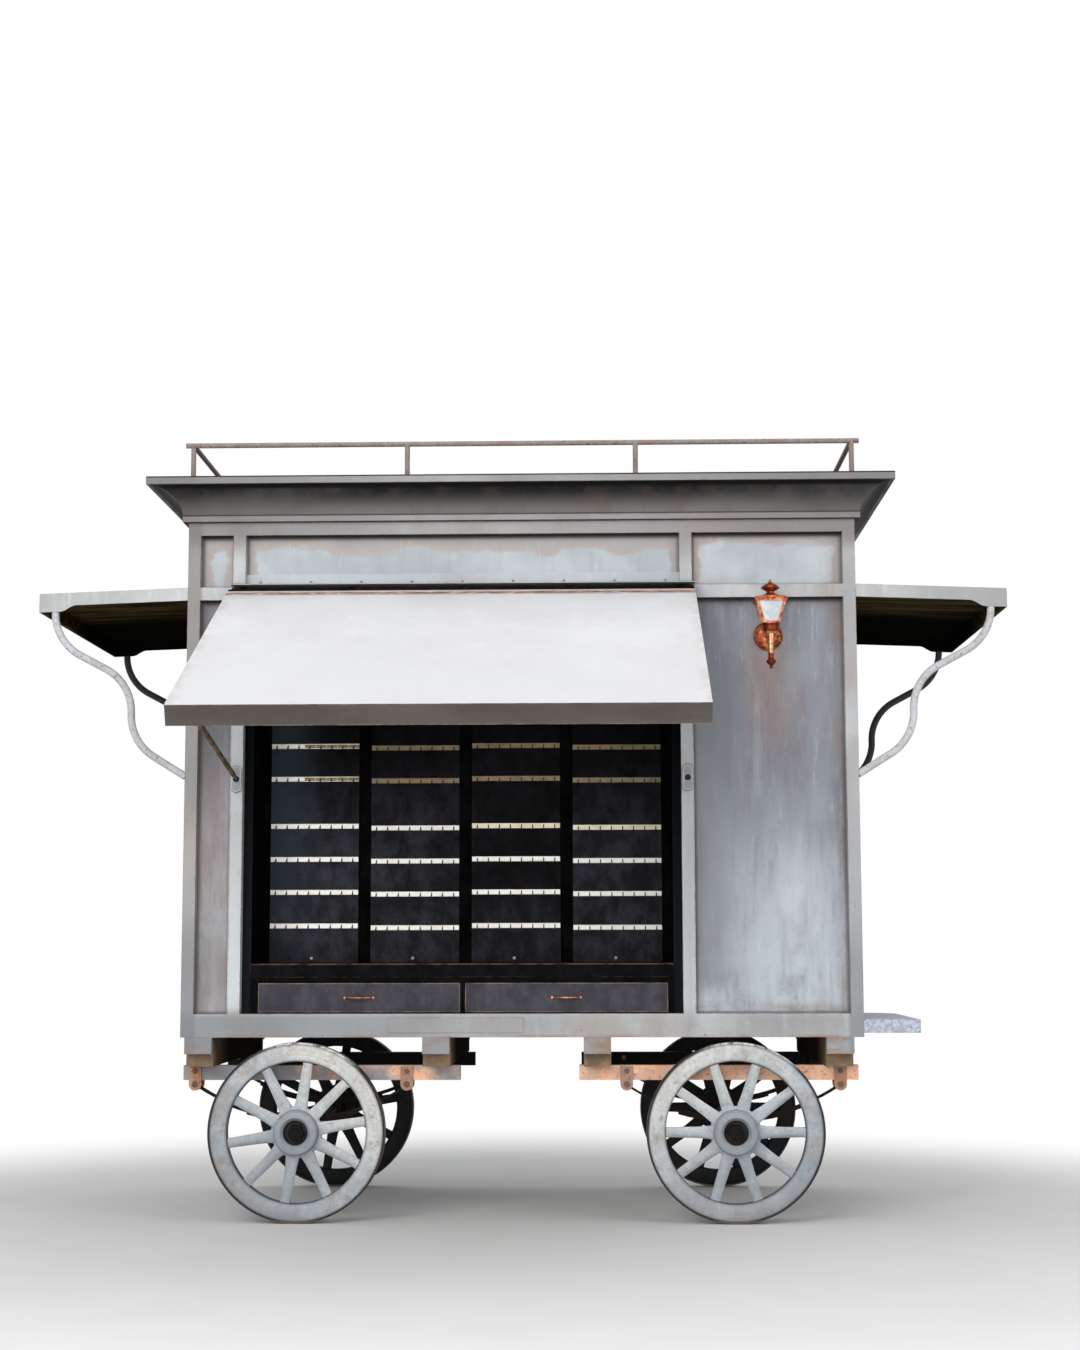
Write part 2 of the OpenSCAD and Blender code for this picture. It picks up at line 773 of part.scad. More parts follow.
module strip_hooks() {
    pitch = board_w / hooks;
    color("gray") cart() for (k = [0:3], h = strip_zs, n = [0:hooks - 1])
        translate([board_xs[k] - board_w / 2 + (n + 0.5) * pitch, board_y, strip_z(k, h) - strip_h / 2 - 4]) {
            rotate([90, 0, 0]) cylinder(d = hook_d, h = hook_l, $fn = 16);
            translate([0, -hook_l + hook_d / 2, 0]) cylinder(d = hook_d, h = 10, $fn = 16);
        }
}

module board_knobs() {
    knob_r = 7;
    color("lightgray") cart() for (x = board_xs)
        translate([x - 8, board_y - knob_r, ledge_top + 20]) {
            sphere(r = knob_r, $fn = 24);
            rotate([-90, 0, 0]) cylinder(r = 3, h = knob_r, $fn = 24);
        }
}

module counter_ledge() {
    color("#38343a") cart() {
        translate([liner_x0, liner_y0, ledge_top - ledge_board_t])
            cube([liner_x1 - liner_x0, liner_back - liner_y0, ledge_board_t]);
        translate([liner_x0, liner_y0, ledge_top - ledge_h])
            cube([liner_x1 - liner_x0, 2 * liner_t, ledge_h]);
    }
}

module drawer_case() {
    top = ledge_top - ledge_h;
    x0 = drawer_left_x - case_wall;
    mid = drawer_mid;
    color("black") cart() difference() {
        translate([liner_x0, liner_y0, open_z]) cube([liner_x1 - liner_x0, liner_back - liner_y0, top - open_z]);
        for (x = [drawer_left_x, drawer_x1])
            translate([x - case_wall, liner_y0 - cut, drawer_z - eps])
                cube([drawer_len + 2 * case_wall, drawer_d + cut + 8, drawer_h + 3]);
    }
}

// An open-topped box behind a plain front
module drawer(x) {
    wall = drawer_t;
    color("#37333a") cart() difference() {
        union() {
            translate([x, drawer_y, drawer_z]) cube([drawer_len, 1.5 * wall, drawer_h]);
            translate([x + wall, drawer_y + wall, drawer_z])
                cube([drawer_len - 2 * wall, drawer_d - wall, drawer_h - 15]);
        }
        translate([x + 2 * wall, drawer_y + 1.5 * wall, drawer_z + wall / 2])
            cube([drawer_len - 4 * wall, drawer_d - 2.5 * wall, drawer_h]);
    }
}

module left_drawer() {
    drawer(drawer_left_x);
}

module right_drawer() {
    drawer(drawer_x1);
}

// A bow pull: two round feet and a bar that swells towards its middle
module pull(x) {
    foot_r = 8;
    bow_r = (pull_w * pull_w / 4 + pull_out * pull_out) / (2 * pull_out);
    half_a = asin(pull_w / 2 / bow_r);
    color("peru") cart() translate([x + drawer_len / 2, drawer_y, drawer_z + drawer_h * 0.5]) {
        for (s = [-1, 1])
            translate([s * pull_w / 2, 0, 0]) rotate([90, 0, 0]) {
                cylinder(r = foot_r, h = 3);
                cylinder(r = foot_r * 0.7, h = 7);
            }
        translate([0, -pull_out + bow_r - 3, 0]) rotate([0, 0, -90 - half_a])
            rotate_extrude(angle = 2 * half_a, $fn = 96) translate([bow_r, 0]) circle(d = pull_d, $fn = 24);
    }
}

module left_pull() {
    pull(drawer_left_x);
}

module right_pull() {
    pull(drawer_x1);
}

// Lamp: heights above the wall plate's centre
lamp_cup_top = 30;
glass_top = lamp_cup_top + lantern_h;

module at_lamp() {
    cart() translate([lamp_x, -lamp_out, mid_rail_z - lamp_drop]) children();
}

module lamp_wall_plate() {
    depth = lamp_out + panel_set;
    color("peru") at_lamp() translate([0, depth, 0]) rotate([90, 0, 0]) {
        cylinder(d = lamp_plate_d, h = 6);
        translate([0, 0, 6]) cylinder(d1 = lamp_plate_d - 8, d2 = lamp_plate_d * 0.5, h = 10);
        for (s = [-1, 1]) translate([s * lamp_plate_d * 0.36, 0, 0]) cylinder(r = 5, h = 14, $fn = 24);
    }
}

// The arm to the lamp's axis, the cup under the lantern and the tail with its knob
module lamp_arm() {
    depth = lamp_out + panel_set - 16;
    arm_r = 8;
    cup_r = lantern_foot_w / 2;
    color("peru") at_lamp() {
        translate([0, depth, -20]) rotate([90, 0, 0]) cylinder(r = arm_r, h = depth - 5);
        rotate_extrude() polygon([
            [0, -150], [5, -148], [7, -142], [5, -136], [12, -133], [20, -122], [18, -116], [12, -111], [10.5, -108],
            [13.8, -10], [23.5, -8], [cup_r - 5, 4], [cup_r - 4, 22], [cup_r, 26], [cup_r, lamp_cup_top],
            [0, lamp_cup_top]
        ]);
    }
}

// A tapered square tower between two widths
module tower(w0, w1, h) {
    hull() {
        translate([-w0 / 2, -w0 / 2, 0]) cube([w0, w0, 0.01]);
        translate([-w1 / 2, -w1 / 2, h - 0.01]) cube([w1, w1, 0.01]);
    }
}

module lantern_frame() {
    post = 9;
    color("peru") at_lamp() translate([0, 0, lamp_cup_top]) difference() {
        tower(lantern_foot_w, lantern_w, lantern_h);
        translate([0, 0, 7]) tower(lantern_foot_w - 6, lantern_w - 8, lantern_h);
        for (a = [0, 90]) rotate([0, 0, a])
            translate([0, lantern_w, 0]) rotate([90, 0, 0]) linear_extrude(2 * lantern_w)
                polygon([
                    [-lantern_foot_w / 2 + post, 7], [lantern_foot_w / 2 - post, 7],
                    [lantern_w / 2 - post - 3, lantern_h - 8], [-lantern_w / 2 + post + 3, lantern_h - 8]
                ]);
    }
}

module lantern_panes() {
    pane = 2;
    low = lantern_foot_w - 6 - 2 * eps;
    high = lantern_w - 8 - 2 * eps;
    color("whitesmoke") at_lamp() translate([0, 0, lamp_cup_top + 7]) difference() {
        tower(low, high, lantern_h);
        translate([0, 0, -1]) tower(low - 2 * pane, high - 2 * pane, lantern_h + 2);
        translate([-lantern_w, -lantern_w, lantern_h - 7]) cube([2 * lantern_w, 2 * lantern_w, lantern_h]);
    }
}

// The roof, its neck and the turned finial
module lantern_roof() {
    color("peru") at_lamp() translate([0, 0, glass_top]) {
        translate([-lantern_w / 2 - 4, -lantern_w / 2 - 4, 0]) cube([lantern_w + 8, lantern_w + 8, 8]);
        translate([0, 0, 8]) tower(lantern_w, 34, 22);
        rotate_extrude() polygon([
            [0, 28], [15, 28], [14, 35], [20, 40], [35, 48], [37, 52], [33, 57], [20, 66], [8, 72], [5, 78], [3, 80],
            [3, 84], [0, 86]
        ]);
    }
}

module lamp_bulb() {
    bulb_r = 22;
    color("white") at_lamp() translate([0, 0, lamp_cup_top + 7]) {
        cylinder(r = 13, h = 30);
        translate([0, 0, 48]) sphere(r = bulb_r);
    }
}

module legs() {
    color("gray") cart() for (x = beam_xs, y = [0, body_d - beam_set])
        translate([x - beam_w / 2, y, body_z - leg_h]) cube([beam_w, beam_set, leg_h]);
}

module cross_beams() {
    color("rosybrown") cart() for (x = beam_xs)
        translate([x - beam_w / 2, beam_set, beam_z]) cube([beam_w, body_d - 2 * beam_set, beam_h]);
}

bar_ys = [bar_set, body_d - bar_set - bar_t];

module side_bars() {
    color("rosybrown") cart() for (x = bar_xs, y = bar_ys)
        translate([x - bar_l / 2, y, bar_z]) cube([bar_l, bar_t, bar_t]);
}

shackle_t = 11;
shackle_w = 50;
shackle_pin_d = 16;

module at_shackles() {
    for (x = [axle_left_x, axle_right_x], s = [-1, 1], y = bar_ys)
        translate([x + s * spring_half, y, pin_z]) children();
}

module shackle_plates() {
    top = bar_z + bar_t - 4 - pin_z;
    color("rosybrown") cart() at_shackles() for (y = [0, bar_t + shackle_t])
        translate([0, y, 0]) rotate([90, 0, 0]) linear_extrude(shackle_t) difference() {
            union() {
                circle(d = shackle_w);
                translate([-shackle_w / 2, 0]) square([shackle_w, top]);
            }
            circle(d = shackle_pin_d);
        }
}

module shackle_pins() {
    head = 6;
    color("dimgray") cart() at_shackles() {
        translate([0, -shackle_t - head, 0]) rotate([-90, 0, 0]) {
            cylinder(d = shackle_pin_d + 8, h = head);
            cylinder(d = shackle_pin_d, h = bar_t + 2 * shackle_t + 2 * head);
        }
        translate([0, -shackle_t - head, 52]) rotate([-90, 0, 0]) cylinder(d = shackle_pin_d + 4, h = head);
    }
}

// One spring: curved leaves under one another, an eye at each end and a clamp on the axle
module leaf_springs() {
    eye_r = 13;
    centre_z = spring_top_z + spring_r;
    half_a = asin(spring_half / spring_r);
    clamp_w = 64;
    color("#3a3230") cart() for (x = [axle_left_x, axle_right_x], y = bar_ys)
        translate([x, y + (bar_t + leaf_spring_w) / 2, 0]) rotate([90, 0, 0]) difference() {
            union() {
                linear_extrude(leaf_spring_w) {
                    for (k = [0:leaves - 1])
                        translate([0, centre_z]) intersection() {
                            difference() {
                                circle(r = spring_r + (k + 1) * leaf_t, $fn = 180);
                                circle(r = spring_r + k * leaf_t, $fn = 180);
                            }
                            polygon([
                                [0, 0], [-2 * spring_r * tan(half_a * (1 - 0.26 * k)), -2 * spring_r],
                                [2 * spring_r * tan(half_a * (1 - 0.26 * k)), -2 * spring_r]
                            ]);
                        }
                    for (s = [-1, 1]) translate([s * spring_half, pin_z]) circle(r = eye_r);
                    translate([-clamp_w / 2, wheel_r - axle_d / 2 - 8])
                        square([clamp_w, spring_top_z + 4 - wheel_r + axle_d / 2 + 8]);
                }
            }
            for (s = [-1, 1]) translate([s * spring_half, pin_z, -cut])
                cylinder(d = shackle_pin_d, h = leaf_spring_w + 2 * cut);
            translate([0, wheel_r, -cut]) cylinder(d = axle_d, h = leaf_spring_w + 2 * cut);
        }
}

nut_t = 26;
cup_d = 42;

module axles() {
    color("#3a3230") cart() for (x = [axle_left_x, axle_right_x])
        translate([x, nave_y + cup_d - nut_t, wheel_r]) rotate([-90, 0, 0])
            cylinder(d = axle_d, h = body_d - 2 * (nave_y + cup_d - nut_t));
}

// Nuts in the naves' cups
module axle_nuts() {
    nut_r = 33;
    y = nave_y + cup_d - eps;
    color("#2a2524") cart() for (x = [axle_left_x, axle_right_x], m = [0, 1])
        translate([x, m * body_d + (1 - 2 * m) * y, wheel_r]) rotate([90 - 180 * m, 0, 0]) difference() {
            cylinder(r = nut_r, h = nut_t - eps, $fn = 6);
            cylinder(d = axle_d, h = nut_t);
        }
}

// Wheels: m picks the front or the rear end of the axle
module at_wheel(x, m) {
    cart() translate([x, m * body_d, wheel_r]) rotate([90, 0, 0]) mirror([0, 0, 1 - m]) children();
}

// A rim, spokes that butt on the flats of the nave's ring, and the nave
module wheel(x, m, turn) {
    rim_in = wheel_r - tyre_t - rim_h;
    ring = nave_r + 26;
    spoke_end = sqrt(pow(rim_in - eps, 2) - pow(spoke_w1 / 2, 2));
    color("lightsteelblue") at_wheel(x, m) {
        translate([0, 0, (tyre_w - rim_w) / 2]) linear_extrude(rim_w) difference() {
            circle(r = wheel_r - tyre_t, $fn = 120);
            circle(r = rim_in, $fn = 120);
        }
        translate([0, 0, (tyre_w - spoke_t) / 2]) linear_extrude(spoke_t)
            for (k = [0:spokes - 1]) rotate(turn + 360 * k / spokes)
                polygon([
                    [ring + eps, -spoke_w0 / 2], [spoke_end, -spoke_w1 / 2],
                    [spoke_end, spoke_w1 / 2], [ring + eps, spoke_w0 / 2]
                ]);
        difference() {
            union() {
                translate([0, 0, (tyre_w - spoke_t) / 2]) rotate(turn + 180 / spokes)
                    cylinder(r = ring / cos(180 / spokes), h = spoke_t, $fn = spokes);
                translate([0, 0, nave_y]) cylinder(r = nave_r, h = nave_l, $fn = 96);
            }
            translate([0, 0, nave_y - cut]) cylinder(r = nave_cup_r, h = cup_d + cut, $fn = 64);
            translate([0, 0, nave_y - cut]) cylinder(r = axle_d / 2 + fit, h = nave_l + 2 * cut);
        }
    }
}

module tyre(x, m) {
    color("#4a4440") at_wheel(x, m) linear_extrude(tyre_w) difference() {
        circle(r = wheel_r, $fn = 120);
        circle(r = wheel_r - tyre_t, $fn = 120);
    }
}

module wheel_front_left() {
    wheel(axle_left_x, 0, 9);
}

module wheel_front_right() {
    wheel(axle_right_x, 0, 0);
}

module wheel_rear_left() {
    wheel(axle_left_x, 1, 9);
}

module wheel_rear_right() {
    wheel(axle_right_x, 1, 0);
}

module tyre_front_left() {
    tyre(axle_left_x, 0);
}

module tyre_front_right() {
    tyre(axle_right_x, 0);
}

module tyre_rear_left() {
    tyre(axle_left_x, 1);
}

module tyre_rear_right() {
    tyre(axle_right_x, 1);
}

floor_boards();
front_frame();
front_panels();
side_frames();
side_panels();
rear_frame();
rear_panels();
neck_moulding();
cornice();
roof_board();
roof_rail();
left_canopy();
right_canopy();
canopy_brackets();
side_ledge();
bare_plate();
drip_flashing();
flashing_screws();
hinge_brackets();
hinge_pin();
stay_sockets();
recess_lining();
display_boards();
label_strips();
strip_hooks();
board_knobs();
counter_ledge();
drawer_case();
lamp_wall_plate();
lamp_arm();
lantern_frame();
lantern_panes();
lantern_roof();
lamp_bulb();
legs();
cross_beams();
side_bars();
shackle_plates();
shackle_pins();
leaf_springs();
axles();
axle_nuts();
awning_pan();
hinge_leaf();
stay_clevis();
stay_bar();
left_drawer();
left_pull();
right_drawer();
right_pull();
wheel_front_left();
tyre_front_left();
wheel_front_right();
tyre_front_right();
wheel_rear_left();
tyre_rear_left();
wheel_rear_right();
tyre_rear_right();
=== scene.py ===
from math import asin, cos, exp, pi, radians, sin

import bmesh
import bpy
from mathutils import Matrix, Vector


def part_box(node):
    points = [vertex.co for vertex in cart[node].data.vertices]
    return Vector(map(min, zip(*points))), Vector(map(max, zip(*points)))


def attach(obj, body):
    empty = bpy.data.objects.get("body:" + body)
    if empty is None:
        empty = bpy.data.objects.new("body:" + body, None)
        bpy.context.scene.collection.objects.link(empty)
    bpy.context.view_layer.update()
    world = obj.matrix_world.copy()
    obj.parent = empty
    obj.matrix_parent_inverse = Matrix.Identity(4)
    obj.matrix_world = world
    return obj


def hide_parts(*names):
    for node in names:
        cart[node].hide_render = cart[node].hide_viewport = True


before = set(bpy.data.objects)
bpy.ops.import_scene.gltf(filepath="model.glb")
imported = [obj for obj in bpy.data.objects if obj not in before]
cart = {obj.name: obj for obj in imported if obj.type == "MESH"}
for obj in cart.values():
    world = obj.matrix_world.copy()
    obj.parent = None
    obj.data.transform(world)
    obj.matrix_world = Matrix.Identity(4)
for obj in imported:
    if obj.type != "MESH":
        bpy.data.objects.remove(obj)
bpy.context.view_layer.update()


# Camera
# A normal lens, 8.8 m in front of the body and 1.09 m above the floor, turned
# slightly up. Its 36 mm lie along the picture's long side.
eye = Vector((0.3131, -8.8802, 1.0857))
yaw, pitch, roll = -0.0267, 0.1216, -0.002
forward = Vector((sin(yaw) * cos(pitch), cos(yaw) * cos(pitch), sin(pitch)))
level = Vector((cos(yaw), -sin(yaw), 0))
upright = level.cross(forward)
across = level * cos(roll) + upright * sin(roll)
over = upright * cos(roll) - level * sin(roll)

camera = bpy.data.objects.new("camera", bpy.data.cameras.new("camera"))
camera.data.lens = 58.67
camera.data.sensor_width = 36
camera.data.clip_end = 200
camera.matrix_world = Matrix.Translation(eye) @ Matrix((across, over, -forward)).transposed().to_4x4()
bpy.context.scene.collection.objects.link(camera)
bpy.context.scene.camera = camera
bpy.context.scene.view_settings.view_transform = "Standard"


# Floor and light
# A pale studio floor that runs out to plain white, under a soft sky. A large key lamp
# stands at the front left, a weaker one at the right, one overhead, one low in front.
def hue(text):
    """The colour of a paint chip, such as "#a0a4a8", as Blender's sockets take it."""
    parts = [int(text[k:k + 2], 16) / 255 for k in (1, 3, 5)]
    return [c / 12.92 if c <= 0.04045 else ((c + 0.055) / 1.055) ** 2.4 for c in parts] + [1.0]


def put(mat, kind, sockets=None, **settings):
    """A new node in a finish, with its sockets set or linked. Returns its outputs."""
    made = mat.node_tree.nodes.new("ShaderNode" + kind)
    for key, value in settings.items():
        setattr(made, key, value)
    for key, value in (sockets or {}).items():
        if isinstance(value, bpy.types.NodeSocket):
            mat.node_tree.links.new(value, made.inputs[key])
        else:
            made.inputs[key].default_value = value
    return made.outputs


def ease(mat, value, low, high, end=1.0, start=0.0):
    """value from low to high becomes start to end, held at both ends."""
    sockets = {"Value": value, "From Min": low, "From Max": high, "To Min": start, "To Max": end}
    return put(mat, "MapRange", sockets, interpolation_type="SMOOTHSTEP")["Result"]


def sums(mat, operation, first, second=0.0):
    return put(mat, "Math", {0: first, 1: second}, operation=operation)[0]


def times(mat, first, *others):
    for other in others:
        first = sums(mat, "MULTIPLY", first, other)
    return first


def larger(mat, first, second):
    return sums(mat, "MAXIMUM", first, second)


def seen_white(mat):
    """1 for what the camera, a reflection or a glass sees of the backdrop."""
    path = put(mat, "LightPath")
    seen = larger(mat, path["Is Camera Ray"], path["Is Glossy Ray"])
    return larger(mat, seen, path["Is Transmission Ray"])


floor = bpy.data.materials.new("floor_finish")
floor.use_nodes = True
floor.node_tree.nodes.clear()
spot = put(floor, "TexCoord")["Object"]
far = put(floor, "VectorMath", {0: spot}, operation="LENGTH")["Value"]
fade = ease(floor, far, 2.4, 4.6)
grain = put(floor, "TexNoise", {"Vector": spot, "Scale": 3.0, "Detail": 5.0})["Fac"]
tone = put(floor, "Mix", {0: grain, 6: hue("#d8d7d5"), 7: hue("#e1e0df")}, data_type="RGBA")[2]
matt = put(floor, "BsdfDiffuse", {"Color": tone})["BSDF"]
white = put(floor, "Emission", {"Color": (1, 1, 1, 1), "Strength": 1.0})["Emission"]
gone = times(floor, fade, seen_white(floor))
mixed = put(floor, "MixShader", {0: gone, 1: matt, 2: white})[0]
put(floor, "OutputMaterial", {"Surface": mixed})

floor_mesh = bpy.data.meshes.new("studio_floor")
floor_mesh.from_pydata([(-40, -40, 0), (40, -40, 0), (40, 40, 0), (-40, 40, 0)], [], [(0, 1, 2, 3)])
floor_mesh.materials.append(floor)
studio_floor = bpy.data.objects.new("studio_floor", floor_mesh)
studio_floor.location.z = -0.001
bpy.context.scene.collection.objects.link(studio_floor)

sky = bpy.data.worlds.new("sky")
bpy.context.scene.world = sky
sky.use_nodes = True
sky.node_tree.nodes.clear()
soft = put(sky, "Background", {"Color": (0.96, 0.98, 1.0, 1), "Strength": 0.62})[0]
plain = put(sky, "Background", {"Color": (1, 1, 1, 1), "Strength": 1.0})[0]
put(sky, "OutputWorld", {"Surface": put(sky, "MixShader", {0: seen_white(sky), 1: soft, 2: plain})[0]})


def studio_lamp(name, place, aim, size, power):
    lamp = bpy.data.objects.new(name, bpy.data.lights.new(name, "AREA"))
    lamp.data.size = size
    lamp.data.energy = power
    lamp.location = place
    lamp.rotation_euler = (Vector(aim) - Vector(place)).to_track_quat("-Z", "Y").to_euler()
    bpy.context.scene.collection.objects.link(lamp)


studio_lamp("key_lamp", (-3.5, -8.5, 5.6), (0, 0, 1.4), 5.0, 430)
studio_lamp("side_lamp", (6.5, -5.5, 4.0), (0, 0, 1.6), 4.0, 150)
studio_lamp("top_lamp", (0.5, 0.5, 8.5), (0, 0, 2.0), 6.0, 130)
studio_lamp("low_lamp", (-0.6, -9.0, 1.3), (0, 0, 0.9), 3.0, 215)


# Body frames
# One flat frame of 50 mm square steel tube for each wall, welded and brushed with a
# thin grey paint. It has bloomed bluish white, and worn to brown primer at its edges.
def clouds(mat, size, stretch=(1, 1, 1), detail=6.0, rough=0.6, shift=0.0):
    """Mottling whose patches are about size metres wide, drawn out along an axis by stretch."""
    spot = put(mat, "TexCoord")["Object"]
    scale = [1 / (size * s) for s in stretch]
    spot = put(mat, "Mapping", {"Vector": spot, "Scale": scale, "Location": (shift, shift, shift)})["Vector"]
    return put(mat, "TexNoise", {"Vector": spot, "Scale": 1.0, "Detail": detail, "Roughness": rough})["Fac"]


def patches(mat, low, high, size, *form, share=1.0, **named):
    """Clouds cut to patches: 0 where they are below low, share where they are above high."""
    return ease(mat, clouds(mat, size, *form, **named), low, high, share)


def point(mat):
    """X, Y and Z of a point on the cart, in metres."""
    return put(mat, "SeparateXYZ", {"Vector": put(mat, "TexCoord")["Object"]})


def skyward(mat):
    """1 on what faces the sky, -1 on what faces the ground."""
    return put(mat, "SeparateXYZ", {"Vector": put(mat, "TexCoord")["Normal"]})["Z"]


def lay(mat, amount, under, over, share=1.0):
    """One colour over another by amount, or by a share of it. Each is a chip or a socket."""
    sockets = {0: amount if share == 1.0 else times(mat, amount, share)}
    for key, colour in ((6, under), (7, over)):
        sockets[key] = hue(colour) if isinstance(colour, str) else colour
    return put(mat, "Mix", sockets, data_type="RGBA")[2]


def coats(mat, colour, *layers):
    """A colour with layers over it in turn, each (amount, colour) or (amount, colour, share)."""
    for amount, over, *share in layers:
        colour = lay(mat, amount, colour, over, *share)
    return colour


def edge_wear_and_highlight(mat, reach=0.006, detail=18.0):
    """1 on edges and corners, broken up by noise. Mostly a mask for rubbed wear; on the socket plates it
    carries a painted highlight.
    """
    rounded = put(mat, "Bevel", {"Radius": reach}, samples=6)["Normal"]
    flat = put(mat, "NewGeometry")["Normal"]
    turn = put(mat, "VectorMath", {0: rounded, 1: flat}, operation="DOT_PRODUCT")["Value"]
    edge = ease(mat, turn, 0.995, 0.86)
    return times(mat, edge, patches(mat, 0.42, 0.6, 1 / detail, detail=8.0, rough=0.7))


def start_finish(name, rough=0.6, metal=0.0, gloss=0.5):
    mat = bpy.data.materials.new(name)
    mat.use_nodes = True
    shader = mat.node_tree.nodes["Principled BSDF"]
    shader.inputs["Roughness"].default_value = rough
    shader.inputs["Metallic"].default_value = metal
    shader.inputs["Specular IOR Level"].default_value = gloss
    return mat


def end_finish(mat, colour, rough=None, relief=None, depth=0.001):
    """Links a finish's colour, and where given its roughness and the height of its relief."""
    shader = mat.node_tree.nodes["Principled BSDF"]
    mat.node_tree.links.new(colour, shader.inputs["Base Color"])
    if rough is not None:
        mat.node_tree.links.new(rough, shader.inputs["Roughness"])
    if relief is not None:
        bump = put(mat, "Bump", {"Height": relief, "Distance": depth, "Strength": 1.0})["Normal"]
        mat.node_tree.links.new(bump, shader.inputs["Normal"])
    return mat


def brushed_paint(mat, coat, faded, bloom, primer, bloom_share, primer_share):
    """Thin grey paint: clouded, streaked downwards with bloom, and thin in patches over primer."""
    return coats(mat, coat, (patches(mat, 0.38, 0.62, 0.75, rough=0.5), faded),
                 (patches(mat, 0.5, 0.7, 0.05, (1, 1, 6), rough=0.62, share=bloom_share), bloom),
                 (patches(mat, 0.48, 0.62, 0.4, (1, 1, 1.3), 8.0, 0.62, 7.0, share=primer_share), primer))


def away_from(mat, along, place):
    """How far a point lies from a place on one axis."""
    return sums(mat, "ABSOLUTE", sums(mat, "SUBTRACT", along, place))


def near(mat, along, places, reach):
    """1 on lines that cross an axis at those places, falling to 0 at reach metres from them."""
    nearest = away_from(mat, along, places[0])
    for place in places[1:]:
        nearest = sums(mat, "MINIMUM", nearest, away_from(mat, along, place))
    return ease(mat, nearest, reach, 0.0)


half_width, body_depth = 1.35, 1.4
stile_in, stile_out = half_width - 0.065, half_width - 0.048
pan_x, pan_half = -0.235, 0.936
jamb_x = 0.6675
hinge_line = 2.512


def frame_paint(name, coat="#96979a", faded="#b3b5b6", bloom="#c6cbcf", primer="#97897f", rust="#80573f"):
    """The frames' brushed grey with rain and splashes, and painted shade at the hinge, beneath and down the
    left stile.
    """
    mat = start_finish(name, gloss=0.3)
    x, y, height = point(mat)
    broad = sums(mat, "ABSOLUTE", x)
    left_stile = ease(mat, x, -stile_in, -stile_out)
    rained = times(mat, ease(mat, height, 2.1, 1.1, 0.6), ease(mat, height, 0.78, 0.86))
    top_rail = ease(mat, height, 2.6, 2.74, 0.65)
    stiles = times(mat, ease(mat, broad, stile_in, stile_out), ease(mat, height, 2.2, 0.95, 0.85, 0.1))
    warm = times(mat, left_stile, ease(mat, height, 0.85, 1.6, 0.6))
    # Painted shade down the left stile, lighter around mid height.
    left_stile_shade = larger(mat, ease(mat, height, 1.4, 1.75), ease(mat, height, 1.3, 1.05))
    left_stile_shade = times(mat, left_stile, ease(mat, left_stile_shade, 0.0, 1.0, 0.55, 0.12))
    rail_ends = times(mat, ease(mat, broad, 0.5, 1.1), ease(mat, height, 2.66, 2.74))
    splashed = times(mat, ease(mat, x, stile_in, stile_out), ease(mat, height, 1.25, 0.95, 0.35))
    behind_pan = ease(mat, away_from(mat, x, pan_x), pan_half + 0.001, pan_half - 0.004)
    hinge_shade = times(mat, behind_pan, near(mat, height, (hinge_line,), 0.034),
                        sums(mat, "LESS_THAN", y, 0.3), 3.0)
    hinge_shade = sums(mat, "MINIMUM", hinge_shade, 0.98)
    jamb = times(mat, near(mat, x, (jamb_x,), 0.05), ease(mat, height, 2.3, 1.9, 0.35))
    slate = times(mat, ease(mat, height, 0.84, 0.79), ease(mat, x, 0.2, -1.0, 0.75, 0.15))
    scuffed = times(mat, ease(mat, height, 0.735, 0.722), patches(mat, 0.45, 0.6, 0.05, (3, 1, 1), 7.0))
    # Painted shade: faces that look down are nearly black.
    underside_shade = ease(mat, skyward(mat), -0.35, -0.75, 0.95)
    flecks = patches(mat, 0.67, 0.73, 0.012, detail=3.0, shift=3.0, share=0.6)
    colour = coats(
        mat, brushed_paint(mat, coat, faded, bloom, primer, 0.25, 0.55),
        (rained, bloom), (top_rail, "#868181"), (stiles, "#93969a"), (warm, "#a1968c"),
        (left_stile_shade, "#6c6c6d"), (rail_ends, "#686464", 0.55), (splashed, "#6c6c6d"),
        (hinge_shade, "#040404"), (jamb, "#85898d"), (slate, "#74787c"), (scuffed, "#8d6e5c", 0.7),
        (edge_wear_and_highlight(mat), rust, 0.8), (underside_shade, "#0b0a0a"), (flecks, "#6d5345"))
    rough = ease(mat, clouds(mat, 0.16, detail=7.0), 0.35, 0.7, 0.74, 0.48)
    return end_finish(mat, colour, rough, clouds(mat, 0.02, detail=5.0, rough=0.7, shift=1.0), 0.0006)


def dress(node, mat, rounding=0.0, steps=2):
    """Gives a CAD node its finish, and rounds its sharp corners a little, as wear does."""
    piece = cart[node]
    if not piece.material_slots:
        piece.data.materials.append(mat)
    for place in piece.material_slots:
        place.material = mat
    if rounding:
        bevel = piece.modifiers.new("softened", "BEVEL")
        bevel.width = rounding
        bevel.segments = steps
        bevel.limit_method = "ANGLE"
        bevel.angle_limit = radians(40)
        bevel.harden_normals = True


frame_finish = frame_paint("frame_finish")
for wall in ("front_frame", "side_frames", "rear_frame"):
    dress(wall, frame_finish, 0.003)


# Panels
# Flat steel sheets set back in every bay. They are brushed thinner than the frame:
# brown primer shows along the bays' edges, and rain has washed the lower parts pale.
rail_edges = (0.812, 2.471, 2.524, 2.737)
lamp_x = 0.999


